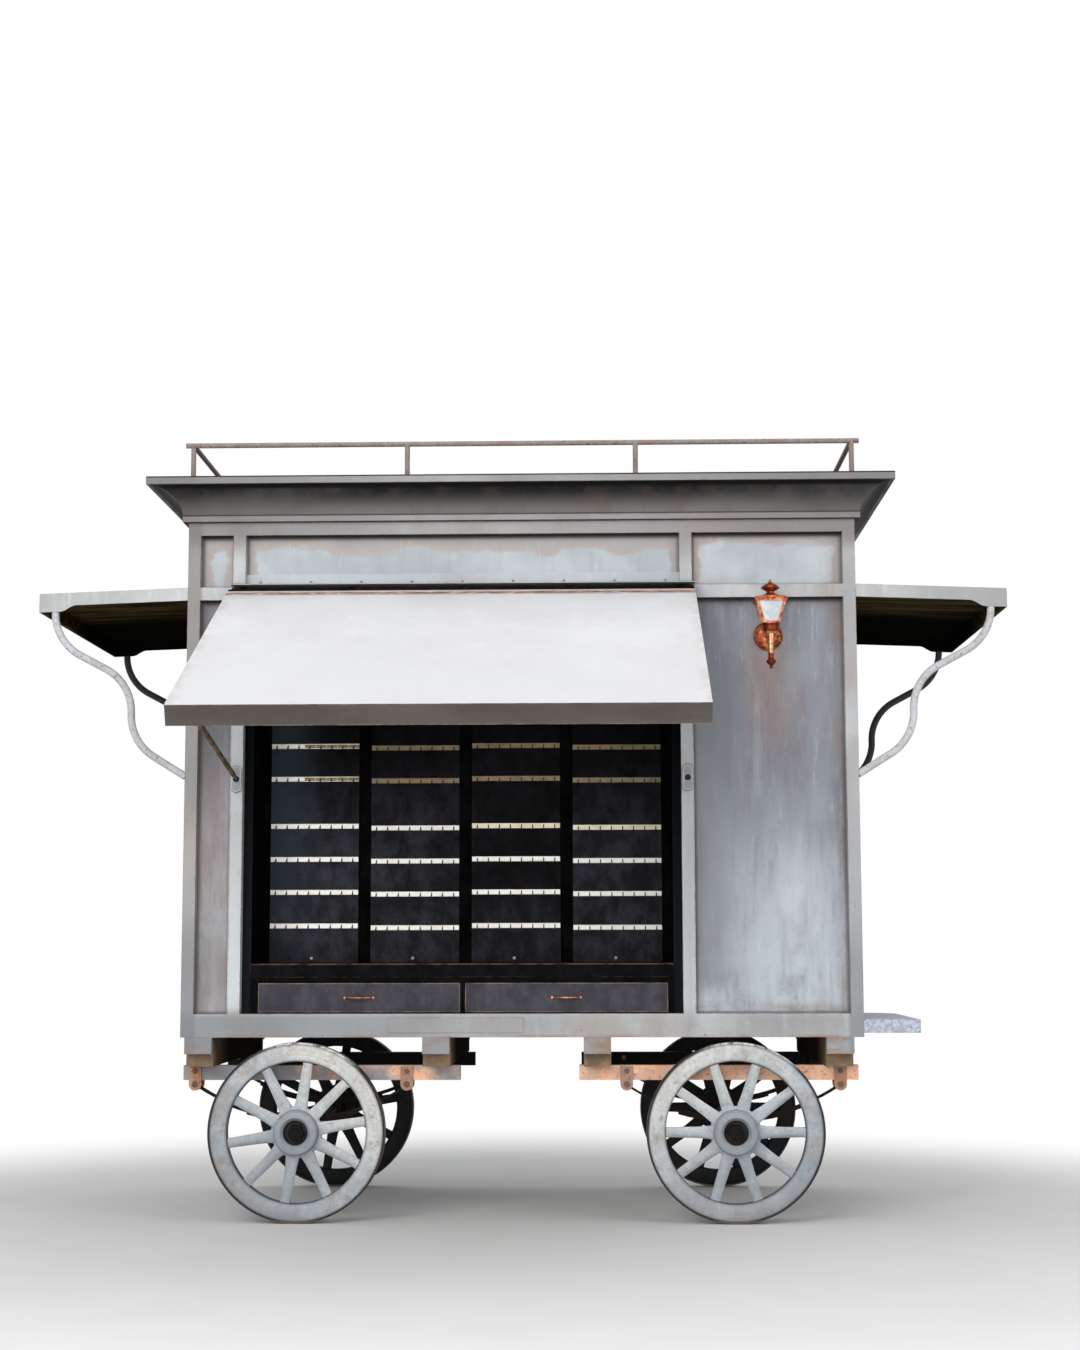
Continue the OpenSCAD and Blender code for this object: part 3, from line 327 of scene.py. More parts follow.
def panel_paint(name, axis, uprights, front=False):
    """Brushed steel, paler in the high bays, with painted shadow under the rails. The front has the lamp's
    rust and painted shade in the left bay and beside the jamb.
    """
    mat = start_finish(name, gloss=0.3)
    spot = point(mat)
    along, height = spot[axis], spot["Z"]
    high_bays = ease(mat, height, 2.47, 2.53)
    rim = larger(mat, near(mat, along, uprights, 0.17), near(mat, height, rail_edges, 0.11))
    below_rail = larger(mat, near(mat, along, uprights, 0.1), ease(mat, height, 2.59, 2.735))
    patch = times(mat, clouds(mat, 0.16, (1.8, 1.8, 0.9), 6.0, 0.56, 4.0), 0.62)
    patch = sums(mat, "ADD", sums(mat, "ADD", patch, 0.19), times(mat, below_rail, -0.32))
    covered = times(mat, ease(mat, patch, 0.28, 0.345), high_bays)
    tide = times(mat, ease(mat, patch, 0.21, 0.29), sums(mat, "SUBTRACT", 1.0, covered))
    drift = sums(mat, "ADD", clouds(mat, 0.22, (1, 1, 3.5), 7.0, 0.62, 4.0), times(mat, rim, -0.12))
    low_tone = coats(mat, "#6c676e", (ease(mat, drift, 0.3, 0.58), "#7f858d"),
                     (patches(mat, 0.5, 0.7, 0.09, (1, 1, 7), 8.0, 0.66, 2.0, share=0.45), "#a2a9b1"))
    high_coat = lay(mat, patches(mat, 0.4, 0.62, 0.3, detail=7.0, shift=2.0), "#a0a7ac", "#b0b6ba")
    high_tone = coats(mat, "#9d9a9a", (times(mat, tide, high_bays), "#ab9a90", 0.55), (covered, high_coat))
    brown = times(mat, near(mat, along, uprights, 0.075),
                  patches(mat, 0.44, 0.62, 0.1, (1, 1, 3), 8.0, 0.68, 11.0))
    brown = larger(mat, brown, times(mat, near(mat, height, rail_edges, 0.06),
                                     patches(mat, 0.42, 0.6, 0.1, (3, 3, 1), 8.0, 0.68, 11.0)))
    brown_share = ease(mat, high_bays, 0.0, 1.0, 0.4, 0.6)
    mist = larger(mat, patches(mat, 0.28, 0.6, 0.11, (1, 1, 4.5), 8.0, 0.64, 4.0),
                  patches(mat, 0.4, 0.62, 0.3, detail=8.0, shift=7.0))
    colour = coats(
        mat, low_tone, (high_bays, high_tone),
        (times(mat, ease(mat, height, 1.95, 1.0, 0.9), mist), "#b4bcc3"),
        (brown, lay(mat, high_bays, "#85685a", "#95857b"), brown_share),
        (patches(mat, 0.56, 0.7, 0.03, (1, 1, 8), 8.0, 0.75, 9.0, share=0.28), "#d2d7db"),
        (patches(mat, 0.5, 0.68, 0.05, (1, 1, 8), 7.0, 0.65, 1.0, share=0.26),
         lay(mat, high_bays, "#6b6462", "#9a908a")))
    if front:
        left_bay = ease(mat, along, -1.1, -1.17)
        jamb_side_shade = times(mat, near(mat, along, (0.72,), 0.25), ease(mat, height, 0.86, 0.96))
        rinsed = times(mat, near(mat, along, (1.1,), 0.17), near(mat, height, (1.3,), 0.32))
        wide = ease(mat, clouds(mat, 0.06, (1, 1, 3), 7.0), 0.3, 0.7, 0.24, 0.1)
        run = ease(mat, sums(mat, "DIVIDE", away_from(mat, along, lamp_x), wide), 1.0, 0.1)
        run = times(mat, run, ease(mat, height, 1.7, 2.15), ease(mat, height, 2.4, 2.28))
        colour = coats(
            mat, colour,
            (times(mat, left_bay, ease(mat, height, 2.1, 1.6, 0.38)), "#8b7b73"),
            # Painted shade in the left bay, high up and near the foot.
            (times(mat, left_bay, near(mat, height, (2.05,), 0.45)), "#4f5055", 0.72),
            (times(mat, left_bay, near(mat, height, (1.0,), 0.26)), "#6b6461", 0.45),
            (times(mat, jamb_side_shade, ease(mat, height, 2.25, 1.95, 0.8)), "#777b7f"),
            (rinsed, "#ccd1d5", 0.45), (run, "#96705c", 0.34))
    seams = larger(mat, near(mat, along, uprights, 0.02), near(mat, height, rail_edges, 0.016))
    # A painted shadow under the rails, at the top of each bay.
    rail_shadow = near(mat, height, (2.474, 2.74), 0.026)
    colour = coats(mat, colour, (seams, "#4c4441", 0.75), (rail_shadow, "#141212", 0.95))
    rough = ease(mat, clouds(mat, 0.12, (1, 1, 2), 7.0), 0.35, 0.7, 0.72, 0.42)
    return end_finish(mat, colour, rough, clouds(mat, 0.45, detail=3.0, rough=0.5), 0.006)


front_uprights = (-1.3, -1.166, -1.116, jamb_x - 0.025, jamb_x + 0.025, 1.3)
dress("front_panels", panel_paint("front_panel_finish", "X", front_uprights, front=True))
dress("rear_panels", panel_paint("rear_panel_finish", "X", (-1.3, -0.4417, 0.4417, 1.3)))
dress("side_panels", panel_paint("side_panel_finish", "Y", (-0.051, 0.574, 0.624, 1.249)))


# Floor boards
# Plain boards laid between the frames' bottom rails, seen only from below. The wood
# is bare, and grey with dust.
planks = start_finish("floor_board_finish", 0.85)
length = patches(planks, 0.35, 0.7, 0.03, (30, 1, 1), 8.0, 0.7)
end_finish(planks, lay(planks, length, "#3c3732", "#5c554d"), None, length, 0.001)
dress("floor_boards", planks)


# Neck moulding and cornice
# A narrow bead runs round the walls' top under a coved cornice of rolled sheet. Painted shade
# darkens its hollow upwards, with painted shadow lines at its foot and under the roof board.
cove_low, cove_high = 2.812, 2.922
cove = start_finish("cove_finish", 0.65, gloss=0.2)
spot = point(cove)
rise = spot["Z"]
# Painted shade up the hollow, and painted shadow lines in the crease at its foot and under the roof board.
shaded = coats(
    cove, "#66625f",
    (ease(cove, rise, cove_low + 0.008, cove_high - 0.012), "#1b1b1c"),
    (ease(cove, sums(cove, "ABSOLUTE", spot["X"]), 0.6, 1.3, 0.35), "#2c2a2a"),
    (patches(cove, 0.42, 0.66, 0.09, (1, 1, 3), 8.0, 0.65, share=0.35), "#54473f"),
    (patches(cove, 0.45, 0.62, 0.5, (2, 2, 1), 5.0, 0.55, 5.0, share=0.18), "#7b7c7e"),
    (near(cove, rise, (cove_low + 0.004,), 0.004), "#232122", 0.9),
    (ease(cove, rise, cove_high - 0.014, cove_high - 0.004), "#060606"))
end_finish(cove, shaded, None, clouds(cove, 0.02, detail=5.0), 0.0005)
dress("cornice", cove)
dress("neck_moulding", frame_paint("neck_finish", "#828486", "#9fa1a3", "#b4b9bc", "#7d736d"), 0.003)


# Roof board
# A flat board covered with sheet metal and painted like the frames. It lies on the
# cornice, and its edge makes the pale line above the cove.
def coat_of(mat):
    """The colour that a finish has so far."""
    return mat.node_tree.nodes["Principled BSDF"].inputs["Base Color"].links[0].from_socket


roof = frame_paint("roof_finish", "#807e80", "#a6a5a9", "#b8babe", "#6f6763", "#5c5350")
spot = point(roof)
ends = ease(roof, sums(roof, "ABSOLUTE", spot["X"]), 0.6, 1.4, 0.28)
edge_top = ease(roof, spot["Z"], 2.946, 2.949)
end_finish(roof, coats(roof, coat_of(roof), (ends, "#6f6f72"), (edge_top, "#171516")))
dress("roof_board", roof, 0.004, 3)


# Roof rail
# 21 mm steel tube, welded into a loop on eight posts. The paint is mostly gone from
# it, and what is left is brown with rust.
def rusty_iron(name, coat, rust, dark, bare=0.6, rough=0.75, gloss=0.15):
    """Old paint over iron that rusts through it in blotches."""
    mat = start_finish(name, rough, gloss=gloss)
    colour = coats(
        mat, coat, (patches(mat, 0.42, 0.6, 0.06, detail=9.0, rough=0.72, shift=2.0, share=bare), rust),
        (patches(mat, 0.56, 0.68, 0.014, detail=5.0, rough=0.65, share=0.75), dark),
        (edge_wear_and_highlight(mat, 0.004), rust, 0.55))
    return end_finish(mat, colour, None, clouds(mat, 0.01, detail=5.0, rough=0.7), 0.0007)


dress("roof_rail", rusty_iron("rail_finish", "#8d8784", "#8a6c58", "#4a3c37", 0.65))


# Side canopies
# A shallow tray of sheet over boards on each side, with an S-shaped end to its valance.
# Outside it has the body's grey. Below it is dark olive with moss, darkened by painted
# shade and black towards the back.
canopy_middle, tray_half, tray_end = 0.5989, 0.6985, 1.9535
canopy = start_finish("canopy_finish", 0.8, gloss=0.0)
spot = point(canopy)
outside = coats(canopy, brushed_paint(canopy, "#a9abaa", "#bfc1c0", "#cbd2d3", "#8f877c", 0.4, 0.35),
                (edge_wear_and_highlight(canopy), "#7d6a58", 0.6),
                (ease(canopy, spot["X"], 1.5, 1.75, 0.45), "#747674"))
# Dark olive with moss underneath, with painted shade that blackens it towards the back.
shaded_below = coats(canopy, "#221b10", (patches(canopy, 0.38, 0.64, 0.05, (7, 1, 1), 8.0, 0.7), "#4e412a"),
              (ease(canopy, spot["Y"], 0.25, 0.75), "#0b0a07"))
in_depth = sums(canopy, "LESS_THAN", away_from(canopy, spot["Y"], canopy_middle), tray_half)
in_width = sums(canopy, "LESS_THAN", sums(canopy, "ABSOLUTE", spot["X"]), tray_end)
under = times(canopy, in_depth, in_width, sums(canopy, "LESS_THAN", skyward(canopy), 0.5))
end_finish(canopy, lay(canopy, under, outside, shaded_below), None, clouds(canopy, 0.03, detail=6.0), 0.001)
for side in ("left_canopy", "right_canopy"):
    dress(side, canopy, 0.005, 3)


# Canopy brackets
# An S of 30 mm steel pipe under each end of a canopy, cold-bent and welded to the
# valance and to the corner of the body. Pale paint, with brown at the bends. Painted
# shade makes the rear ones near black.
front_y = -0.1011423
pipe_r, bend_r = 0.015, 0.2
reach = 0.542
out_turn, in_turn = 62, 58
slant, neck = 0.12, 0.01


def bend_points(start, a0, a1, steps=20):
    """Points of one bend from heading a0 to a1, each (towards the body, down)."""
    turn = 1 if a1 > a0 else -1
    points = []
    for k in range(steps + 1):
        a = radians(a0 + (a1 - a0) * k / steps)
        b = radians(a0)
        points.append((start[0] + turn * bend_r * (cos(b) - cos(a)),
                       start[1] + turn * bend_r * (sin(a) - sin(b))))
    return points


def skin(shape, rings):
    """Faces between rings of equal count, and one across each end."""
    for low, high in zip(rings, rings[1:]):
        for m in range(len(low)):
            n = (m + 1) % len(low)
            shape.faces.new((low[m], low[n], high[n], high[m]))
    shape.faces.new(list(reversed(rings[0])))
    shape.faces.new(rings[-1])


def sweep(points, radii, sides=24):
    """A round bar along points, with a radius at each. Its rings stand square to the path."""
    shape = bmesh.new()
    rings = []
    side = None
    for k, centre in enumerate(points):
        ahead = points[min(k + 1, len(points) - 1)] - points[max(k - 1, 0)]
        ahead.normalize()
        if side is None:
            side = ahead.orthogonal().normalized()
        side = (side - ahead * side.dot(ahead)).normalized()
        up = ahead.cross(side)
        rings.append([shape.verts.new(centre + (side * cos(t) + up * sin(t)) * radii[k])
                      for t in (2 * pi * m / sides for m in range(sides))])
    skin(shape, rings)
    bmesh.ops.recalc_face_normals(shape, faces=shape.faces)
    return shape


def make_piece(name, shape, mat, sharp=40):
    """Turns a finished shape into a piece with its finish, smooth except at sharp corners."""
    mesh = bpy.data.meshes.new(name)
    for face in shape.faces:
        face.smooth = True
    for edge in shape.edges:
        edge.smooth = len(edge.link_faces) == 2 and edge.calc_face_angle(0) < radians(sharp)
    shape.to_mesh(mesh)
    shape.free()
    for one in mat if isinstance(mat, (list, tuple)) else [mat]:
        mesh.materials.append(one)
    piece = bpy.data.objects.new(name, mesh)
    bpy.context.scene.collection.objects.link(piece)
    return piece


def add_shape(shape, other):
    """Adds a finished shape to another."""
    holder = bpy.data.meshes.new("holder")
    other.to_mesh(holder)
    other.free()
    shape.from_mesh(holder)
    bpy.data.meshes.remove(holder)


path = bend_points((0, 0), 0, out_turn)
path += bend_points((path[-1][0] + slant * sin(radians(out_turn)),
                     path[-1][1] + slant * cos(radians(out_turn))), out_turn, 0)
path += bend_points((path[-1][0], path[-1][1] + neck), 0, in_turn)
foot = (reach - path[-1][0]) / sin(radians(in_turn))
path.append((reach, path[-1][1] + foot * cos(radians(in_turn))))
pipe = rusty_iron("bracket_finish", "#b9bdc2", "#9c8677", "#6e594b", 0.4, 0.6)
# Painted shade: the rear brackets are near black.
rear_shade = ease(pipe, point(pipe)["Y"], 0.4, 0.9, 0.94)
end_finish(pipe, lay(pipe, rear_shade, coat_of(pipe), "#141314"))
bracket_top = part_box("canopy_brackets")[1].z
brackets = bmesh.new()
for hand in (-1, 1):
    for depth in (pipe_r, body_depth - pipe_r):
        line = [Vector((hand * (half_width + reach - inward), front_y + depth, bracket_top - down))
                for inward, down in path]
        add_shape(brackets, sweep(line, [pipe_r] * len(line)))
bracket_pipes = make_piece("bracket_pipes", brackets, pipe, 60)
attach(bracket_pipes, "cart")
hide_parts("canopy_brackets")


# Side ledge
# A thick shelf along the right side with a rounded far corner. It is galvanised, and
# its skin has the grey, blue and white crystals of zinc, with dark pits.
ledge = start_finish("side_ledge_finish", 0.55, gloss=0.4)
crystals = put(ledge, "TexVoronoi", {"Vector": put(ledge, "TexCoord")["Object"], "Scale": 95.0})
tone = put(ledge, "SeparateColor", {"Color": crystals["Color"]})["Red"]
speckle = coats(
    ledge, "#969cab", (ease(ledge, tone, 0.2, 0.9), "#b4b9c9"),
    (patches(ledge, 0.58, 0.68, 0.009, detail=4.0, share=0.6), "#d5d9e6"),
    (patches(ledge, 0.6, 0.68, 0.01, detail=5.0, shift=3.0), "#555a68"),
    (ease(ledge, skyward(ledge), 0.4, 0.8, 0.75), "#aaa8bd"))
end_finish(ledge, speckle, None, clouds(ledge, 0.008, detail=4.0), 0.0006)
dress("side_ledge", ledge, 0.004, 3)


# Bare plate
# A thin steel plate, painted like the frames and screwed to the front's bottom rail.
# It carries nothing.
plate_finish = frame_paint("plate_finish", "#9b9896", "#aeabaa", "#b9b9ba", "#8d7f76", "#7a5f50")
dress("bare_plate", plate_finish, 0.001)


# Drip flashing
# Folded zinc strip above the awning. Its upper leg is screwed to the panel, and its
# lower leg carries the rain out over the hinge. Its hem and underside are painted black
# as shade.
flashing = start_finish("flashing_finish", gloss=0.25)
spot = point(flashing)
# Painted shade: the hem's front and the faces that look down are black.
hem_shade = times(flashing, ease(flashing, spot["Y"], -0.17, -0.176), ease(flashing, spot["Z"], 2.5225, 2.5205))
hem_shade = larger(flashing, hem_shade, ease(flashing, skyward(flashing), -0.3, -0.6))
zinc = coats(flashing, brushed_paint(flashing, "#a4a9ae", "#b3b8bd", "#c2c8cc", "#ab9e95", 0.3, 0.4),
             (edge_wear_and_highlight(flashing, 0.003), "#dfe2e5", 0.5), (hem_shade, "#050505"))
end_finish(flashing, zinc, None, clouds(flashing, 0.03, detail=5.0), 0.0005)
dress("drip_flashing", flashing)


# Flashing screws
# Nine pan-head screws hold the flashing's upper leg to the panel. They are steel,
# brown with rust.
screw_low, screw_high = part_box("flashing_screws")
screw_z, screw_pitch, first_screw = 2.55, 0.206, 0.008
face_out = Matrix.Rotation(pi / 2, 4, "X")


def turned(profile, segments=48):
    """A turned shape from (radius, height) points, about Z."""
    shape = bmesh.new()
    points = [shape.verts.new((r, 0, h)) for r, h in profile]
    edges = [shape.edges.new(pair) for pair in zip(points, points[1:])]
    bmesh.ops.spin(shape, geom=points + edges, cent=(0, 0, 0), axis=(0, 0, 1), dvec=(0, 0, 0),
                   angle=2 * pi, steps=segments, use_merge=True)
    bmesh.ops.remove_doubles(shape, verts=shape.verts, dist=1e-6)
    bmesh.ops.recalc_face_normals(shape, faces=shape.faces)
    return shape


def move(shape, matrix, verts=None):
    """Moves a shape, or only some of its corners."""
    bmesh.ops.transform(shape, matrix=matrix, verts=verts or shape.verts)


screws = bmesh.new()
for k in range(9):
    head = turned([(0, 0.003), (0.0026, 0.0028), (0.0044, 0.002), (0.0054, 0.0), (0, 0.0)], 20)
    screw_x = screw_low.x + first_screw + k * screw_pitch
    move(head, Matrix.Translation((screw_x, screw_high.y, screw_z)) @ face_out)
    add_shape(screws, head)
screw_finish = rusty_iron("screw_finish", "#8f9194", "#5f5148", "#2b2725", 0.45, 0.45)
screw_heads = make_piece("screw_heads", screws, screw_finish, 50)
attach(screw_heads, "cart")
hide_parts("flashing_screws")


# Awning hinge
# Five welded arms carry a 12 mm pin. Between them turn the knuckles of a leaf that is
# riveted along the pan's edge. It is rusty iron, painted near black as shade.
leaf_finish = rusty_iron("hinge_leaf_finish", "#191413", "#3a241b", "#0c0a09", 0.6, 0.9, 0.0)
dress("hinge_leaf", leaf_finish)
hinge_finish = rusty_iron("hinge_finish", "#0c0a09", "#1a110d", "#060505", 0.5, 0.9, 0.0)
for part in ("hinge_brackets", "hinge_pin"):
    dress(part, hinge_finish)


# Awning
# One sheet, folded down on three sides into a shallow pan with soldered corners. Its
# top is bleached nearly white. Its lip and flanges are brown-grey with dirt, and darker
# still with painted shade.
slope = radians(25.5)
pan_up = (0, -sin(slope), cos(slope))
pan = start_finish("awning_finish", 0.55, gloss=0.35)
upward = put(pan, "VectorMath", {0: put(pan, "TexCoord")["Normal"], 1: pan_up},
             operation="DOT_PRODUCT")["Value"]
spot = point(pan)
pale = brushed_paint(pan, "#d0d0d3", "#d7d7da", "#dcdee1", "#c9c5c3", 0.4, 0.35)
hinge_side = times(pan, ease(pan, spot["Y"], -0.42, -0.18, 0.35),
                   patches(pan, 0.4, 0.62, 0.1, (3, 1, 1), 8.0))
hinge_rust = times(pan, near(pan, spot["Y"], (-0.241,), 0.034),
                   patches(pan, 0.36, 0.5, 0.014, (4, 1, 1), 8.0, 0.72))
rust_tone = lay(pan, patches(pan, 0.4, 0.6, 0.02, (3, 1, 1), 6.0), "#a8694a", "#6f4533")
side_dirt = near(pan, spot["X"], (pan_x - pan_half, pan_x + pan_half), 0.05)
side_dirt = times(pan, side_dirt, patches(pan, 0.42, 0.6, 0.08))
top = coats(pan, pale, (ease(pan, spot["Y"], -0.45, -1.45, 0.6), "#c6c6c9"),
            (hinge_side, "#b9aca4"), (hinge_rust, rust_tone), (side_dirt, "#b9ada6", 0.5))
# The lip and flanges: dirt, and painted shade on the faces that do not look up.
lip = coats(pan, "#413b37", (patches(pan, 0.38, 0.62, 0.12, (4, 1, 1), 8.0), "#4e4743"),
            (edge_wear_and_highlight(pan), "#968d87", 0.7))
colour = lay(pan, ease(pan, upward, 0.35, 0.75), lip, top)
end_finish(pan, colour, ease(pan, clouds(pan, 0.2), 0.35, 0.7, 0.65, 0.45),
           clouds(pan, 0.5, detail=3.0, rough=0.45), 0.004)
dress("awning_pan", pan, 0.0009)


# Stay, its clevis and the two sockets
# A 20 mm bar from a fork under the pan's left corner to an oval plate on the stile.
# It is brown with rust. The plates keep the frame's paint, with a painted highlight on
# their edges and rim, a painted shadow line inside the edge and painted shade in the hole.
dress("stay_bar", rusty_iron("stay_finish", "#7a6650", "#41322a", "#120f0d", 0.8))
dress("stay_clevis", rusty_iron("clevis_finish", "#4a4542", "#4c372c", "#292321", 0.5), 0.001)


def distance(mat, across, rise):
    """How far a point lies from a centre, by its two ways along the axes."""
    return sums(mat, "SQRT", sums(mat, "ADD", times(mat, across, across), times(mat, rise, rise)))


sockets_middle, socket_out, socket_z = -0.23675, 0.90425, 1.744
# The plates' near-white worn-edge colour is a painted highlight.
plates = frame_paint("socket_finish", "#77767b", "#8a8b90", "#a5a8ac", "#6d625c", "#e4e6e8")
spot = point(plates)
sideways = sums(plates, "SUBTRACT", away_from(plates, spot["X"], sockets_middle), socket_out)
rise = sums(plates, "SUBTRACT", spot["Z"], socket_z)
straight = larger(plates, sums(plates, "SUBTRACT", sums(plates, "ABSOLUTE", rise), 0.0315), 0.0)
border = distance(plates, sideways, straight)
hole_shade = ease(plates, distance(plates, sideways, rise), 0.0132, 0.0124)
# A painted shadow line inside the plate's edge, a painted highlight on its rim, and painted shade in the
# hole.
end_finish(plates, coats(plates, coat_of(plates), (ease(plates, border, 0.0195, 0.0225, 0.85), "#3a3535"),
                         (near(plates, border, (0.0178,), 0.0022), "#b9b6b4"), (hole_shade, "#040404")))
dress("stay_sockets", plates, 0.0015)


# Recess lining
# Boards at the sides, top and back of the display, fixed behind the front frame. They
# are painted black, and painted light greys their front edges, most of all low down.
def black_board(name, dark, light, worn_tone, wear, rough, gloss):
    """Nearly black paint on boards, mottled with dust and rubbed brown at the edges."""
    mat = start_finish(name, rough, gloss=gloss)
    colour = coats(mat, dark, (patches(mat, 0.4, 0.66, 0.09, (1, 1, 1.6), 9.0, 0.72), light),
                   (edge_wear_and_highlight(mat, 0.003, 30.0), worn_tone, wear),
                   (patches(mat, 0.62, 0.72, 0.012, (6, 1, 1), 6.0, 0.7, 5.0, share=0.18), worn_tone))
    fine = ease(mat, clouds(mat, 0.05, detail=8.0), 0.35, 0.7, rough + 0.15, rough - 0.12)
    return end_finish(mat, colour, fine, clouds(mat, 0.006, detail=4.0), 0.0003)


lining = black_board("lining_finish", "#060606", "#101010", "#2c2320", 0.4, 0.85, 0.0)
spot = point(lining)
# Painted light: the front edges are greyer, most of all low down.
front_edge_light = times(lining, ease(lining, spot["Y"], front_y + 0.075, front_y + 0.045),
                   ease(lining, spot["Z"], 2.2, 0.9, 0.9, 0.15))
end_finish(lining, lay(lining, front_edge_light, coat_of(lining), "#1d2024"))
dress("recess_lining", lining)


# Display boards
# Four black boards against the back of the recess, with dark gaps between them. Painted
# shade darkens them upwards and towards the third, and a painted bluish light greys the first.
board_pitch = 0.418
boards = black_board("display_finish", "#1f1f24", "#36363e", "#54443b", 0.8, 0.6, 0.03)
spot = point(boards)
# Painted shade upwards and towards the third board.
shade = times(boards, ease(boards, spot["X"], -0.7, -0.05, 0.85),
              ease(boards, spot["Z"], 1.1, 1.4, 1.0, 0.4), ease(boards, spot["X"], 0.16, 0.2, 0.15, 1.0))
shade = larger(boards, shade, ease(boards, spot["Z"], 1.35, 1.95, 0.88))
# A painted bluish light on the first board.
painted_daylight = times(boards, ease(boards, spot["X"], -0.8, -1.04, 0.8), ease(boards, spot["Z"], 1.0, 1.5, 1.0, 0.2))
left_edges = near(boards, spot["X"], [-1.0625 + board_pitch * k for k in range(1, 4)], 0.005)
end_finish(boards, coats(boards, coat_of(boards), (shade, "#040404"), (painted_daylight, "#323c44"),
                         (left_edges, "#6b4b3c", 0.8)))
dress("display_boards", boards, 0.0015)


# Label strips and hooks
# A ticket rail across each board at six heights: a plastic channel with a bead along both
# edges and eight blank cards. A wire hook stands under each card, its shadow painted as a
# dark line. Painted shade tans the two upper rows, but the first board's rail and left three cards.
strip_h, strip_t, strip_w, bead_h = 0.02, 0.003, 0.364, 0.0028
board_xs = [-0.867 + board_pitch * k for k in range(4)]
strip_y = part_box("label_strips")[1].y
strip_heights = [0.897, 0.76, 0.564, 0.427, 0.291, 0.153]
ledge_top, low_board_drop = 1.008, 0.008
card_pitch, hook_pitch = strip_w / 8, 0.366 / 8
plastic, white_card, cream_card, shaded_card, hook_shadow = range(5)


def card_finish(name, light, dull):
    mat = start_finish(name, 0.45)
    smudge = patches(mat, 0.42, 0.66, 0.03, (2, 1, 1), 6.0, 0.65)
    return end_finish(mat, lay(mat, smudge, light, dull), None, clouds(mat, 0.004, detail=3.0), 0.0001)


def add_block(shape, x, y, z, slot):
    """One card, bead or painted hook shadow that fills three spans, in one of the finishes."""
    low, high = zip(x, y, z)
    made = bmesh.ops.create_cube(shape, size=1.0)["verts"]
    for vert in made:
        vert.co = Vector([low[a] + (vert.co[a] + 0.5) * (high[a] - low[a]) for a in range(3)])
    for face in {face for vert in made for face in vert.link_faces}:
        face.material_index = slot


rails = bmesh.new()
for k, x in enumerate(board_xs):
    left, right = x - strip_w / 2, x + strip_w / 2
    for n, height in enumerate(strip_heights):
        z = ledge_top + height - (low_board_drop if k % 2 else 0)
        foot, head = z - strip_h / 2, z + strip_h / 2
        upper = n < 2
        # The upper rows' rails and cards are painted dark tan as shade, except on the first board's left.
        rail = shaded_card if upper and k else plastic
        add_block(rails, (left, right), (strip_y - 0.0012, strip_y), (foot, head), rail)
        for edge_z in (foot, head - bead_h):
            add_block(rails, (left, right), (strip_y - strip_t, strip_y - 0.001),
                      (edge_z, edge_z + bead_h), rail)
        for m in range(8):
            card = cream_card if n == 2 and k > 1 else white_card
            if upper and (k or m > 2):
                card = shaded_card
            card_x = left + 0.0015 + m * card_pitch
            add_block(rails, (card_x, card_x + card_pitch - 0.0016), (strip_y - 0.0022, strip_y - 0.001),
                      (z - 0.007, z + 0.007), card)
            # A painted shadow of each hook, as a dark line on the card.
            hook_x = x + (m - 3.5) * hook_pitch
            add_block(rails, (hook_x - 0.0023, hook_x + 0.0023), (strip_y - 0.003, strip_y - 0.0011),
                      (z - 0.01, z + 0.0055), hook_shadow)
strip_finishes = [
    card_finish("rail_plastic", "#fbf3e4", "#e6d9c3"), card_finish("white_card", "#ffffff", "#f8f3ea"),
    card_finish("cream_card", "#fbe9c8", "#e9d2a4"), card_finish("shaded_card", "#8a7350", "#6d5838"),
    card_finish("hook_shadow_finish", "#1d1815", "#120e0c"),
]
ticket_rails = make_piece("ticket_rails", rails, strip_finishes, 20)
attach(ticket_rails, "cart")
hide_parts("label_strips")
dress("strip_hooks", rusty_iron("wire_finish", "#2a2522", "#221c19", "#14100e", 0.4, 0.2))


# Board knobs
# A small round iron knob at the foot of each board. Its pale paint is worn through to
# brown.
dress("board_knobs", rusty_iron("knob_finish", "#b9b4ae", "#8a7d72", "#5c524b", 0.35, 0.35))


# Counter ledge and drawer case
# A board along the foot of the display with a deep front edge, over a case that holds
# the two drawers. Black paint, rubbed brown along the front edges.
counter = black_board("ledge_board_finish", "#0a0a0b", "#131215", "#5e4c41", 0.9, 0.6, 0.02)
rubbed = times(counter, near(counter, point(counter)["Z"], (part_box("counter_ledge")[1].z,), 0.006),
               ease(counter, clouds(counter, 0.06, detail=7.0), 0.38, 0.56, 0.8, 0.1))
end_finish(counter, lay(counter, rubbed, coat_of(counter), "#7d5b4b"))
dress("counter_ledge", counter, 0.002)
dress("drawer_case", black_board("case_finish", "#050505", "#0d0c0d", "#241d16", 0.4, 0.8, 0.05))


# Drawers
# Two boxes that slide in the case. Their plain fronts are a little greyer than the
# ledge, and rubbed brown along all four edges.
for side in ("left_drawer", "right_drawer"):
    drawer = black_board(side + "_finish", "#36343c", "#46454d", "#6b5648", 0.9, 0.55, 0.12)
    low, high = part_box(side)
    spot = point(drawer)
    outline = larger(drawer, near(drawer, spot["X"], (low.x, high.x), 0.006),
                     near(drawer, spot["Z"], (low.z, high.z), 0.006))
    rubbed = ease(drawer, clouds(drawer, 0.07, detail=7.0), 0.38, 0.6, 0.85, 0.15)
    end_finish(drawer, lay(drawer, times(drawer, outline, rubbed), coat_of(drawer), "#8d7567"))
    dress(side, drawer, 0.0015)


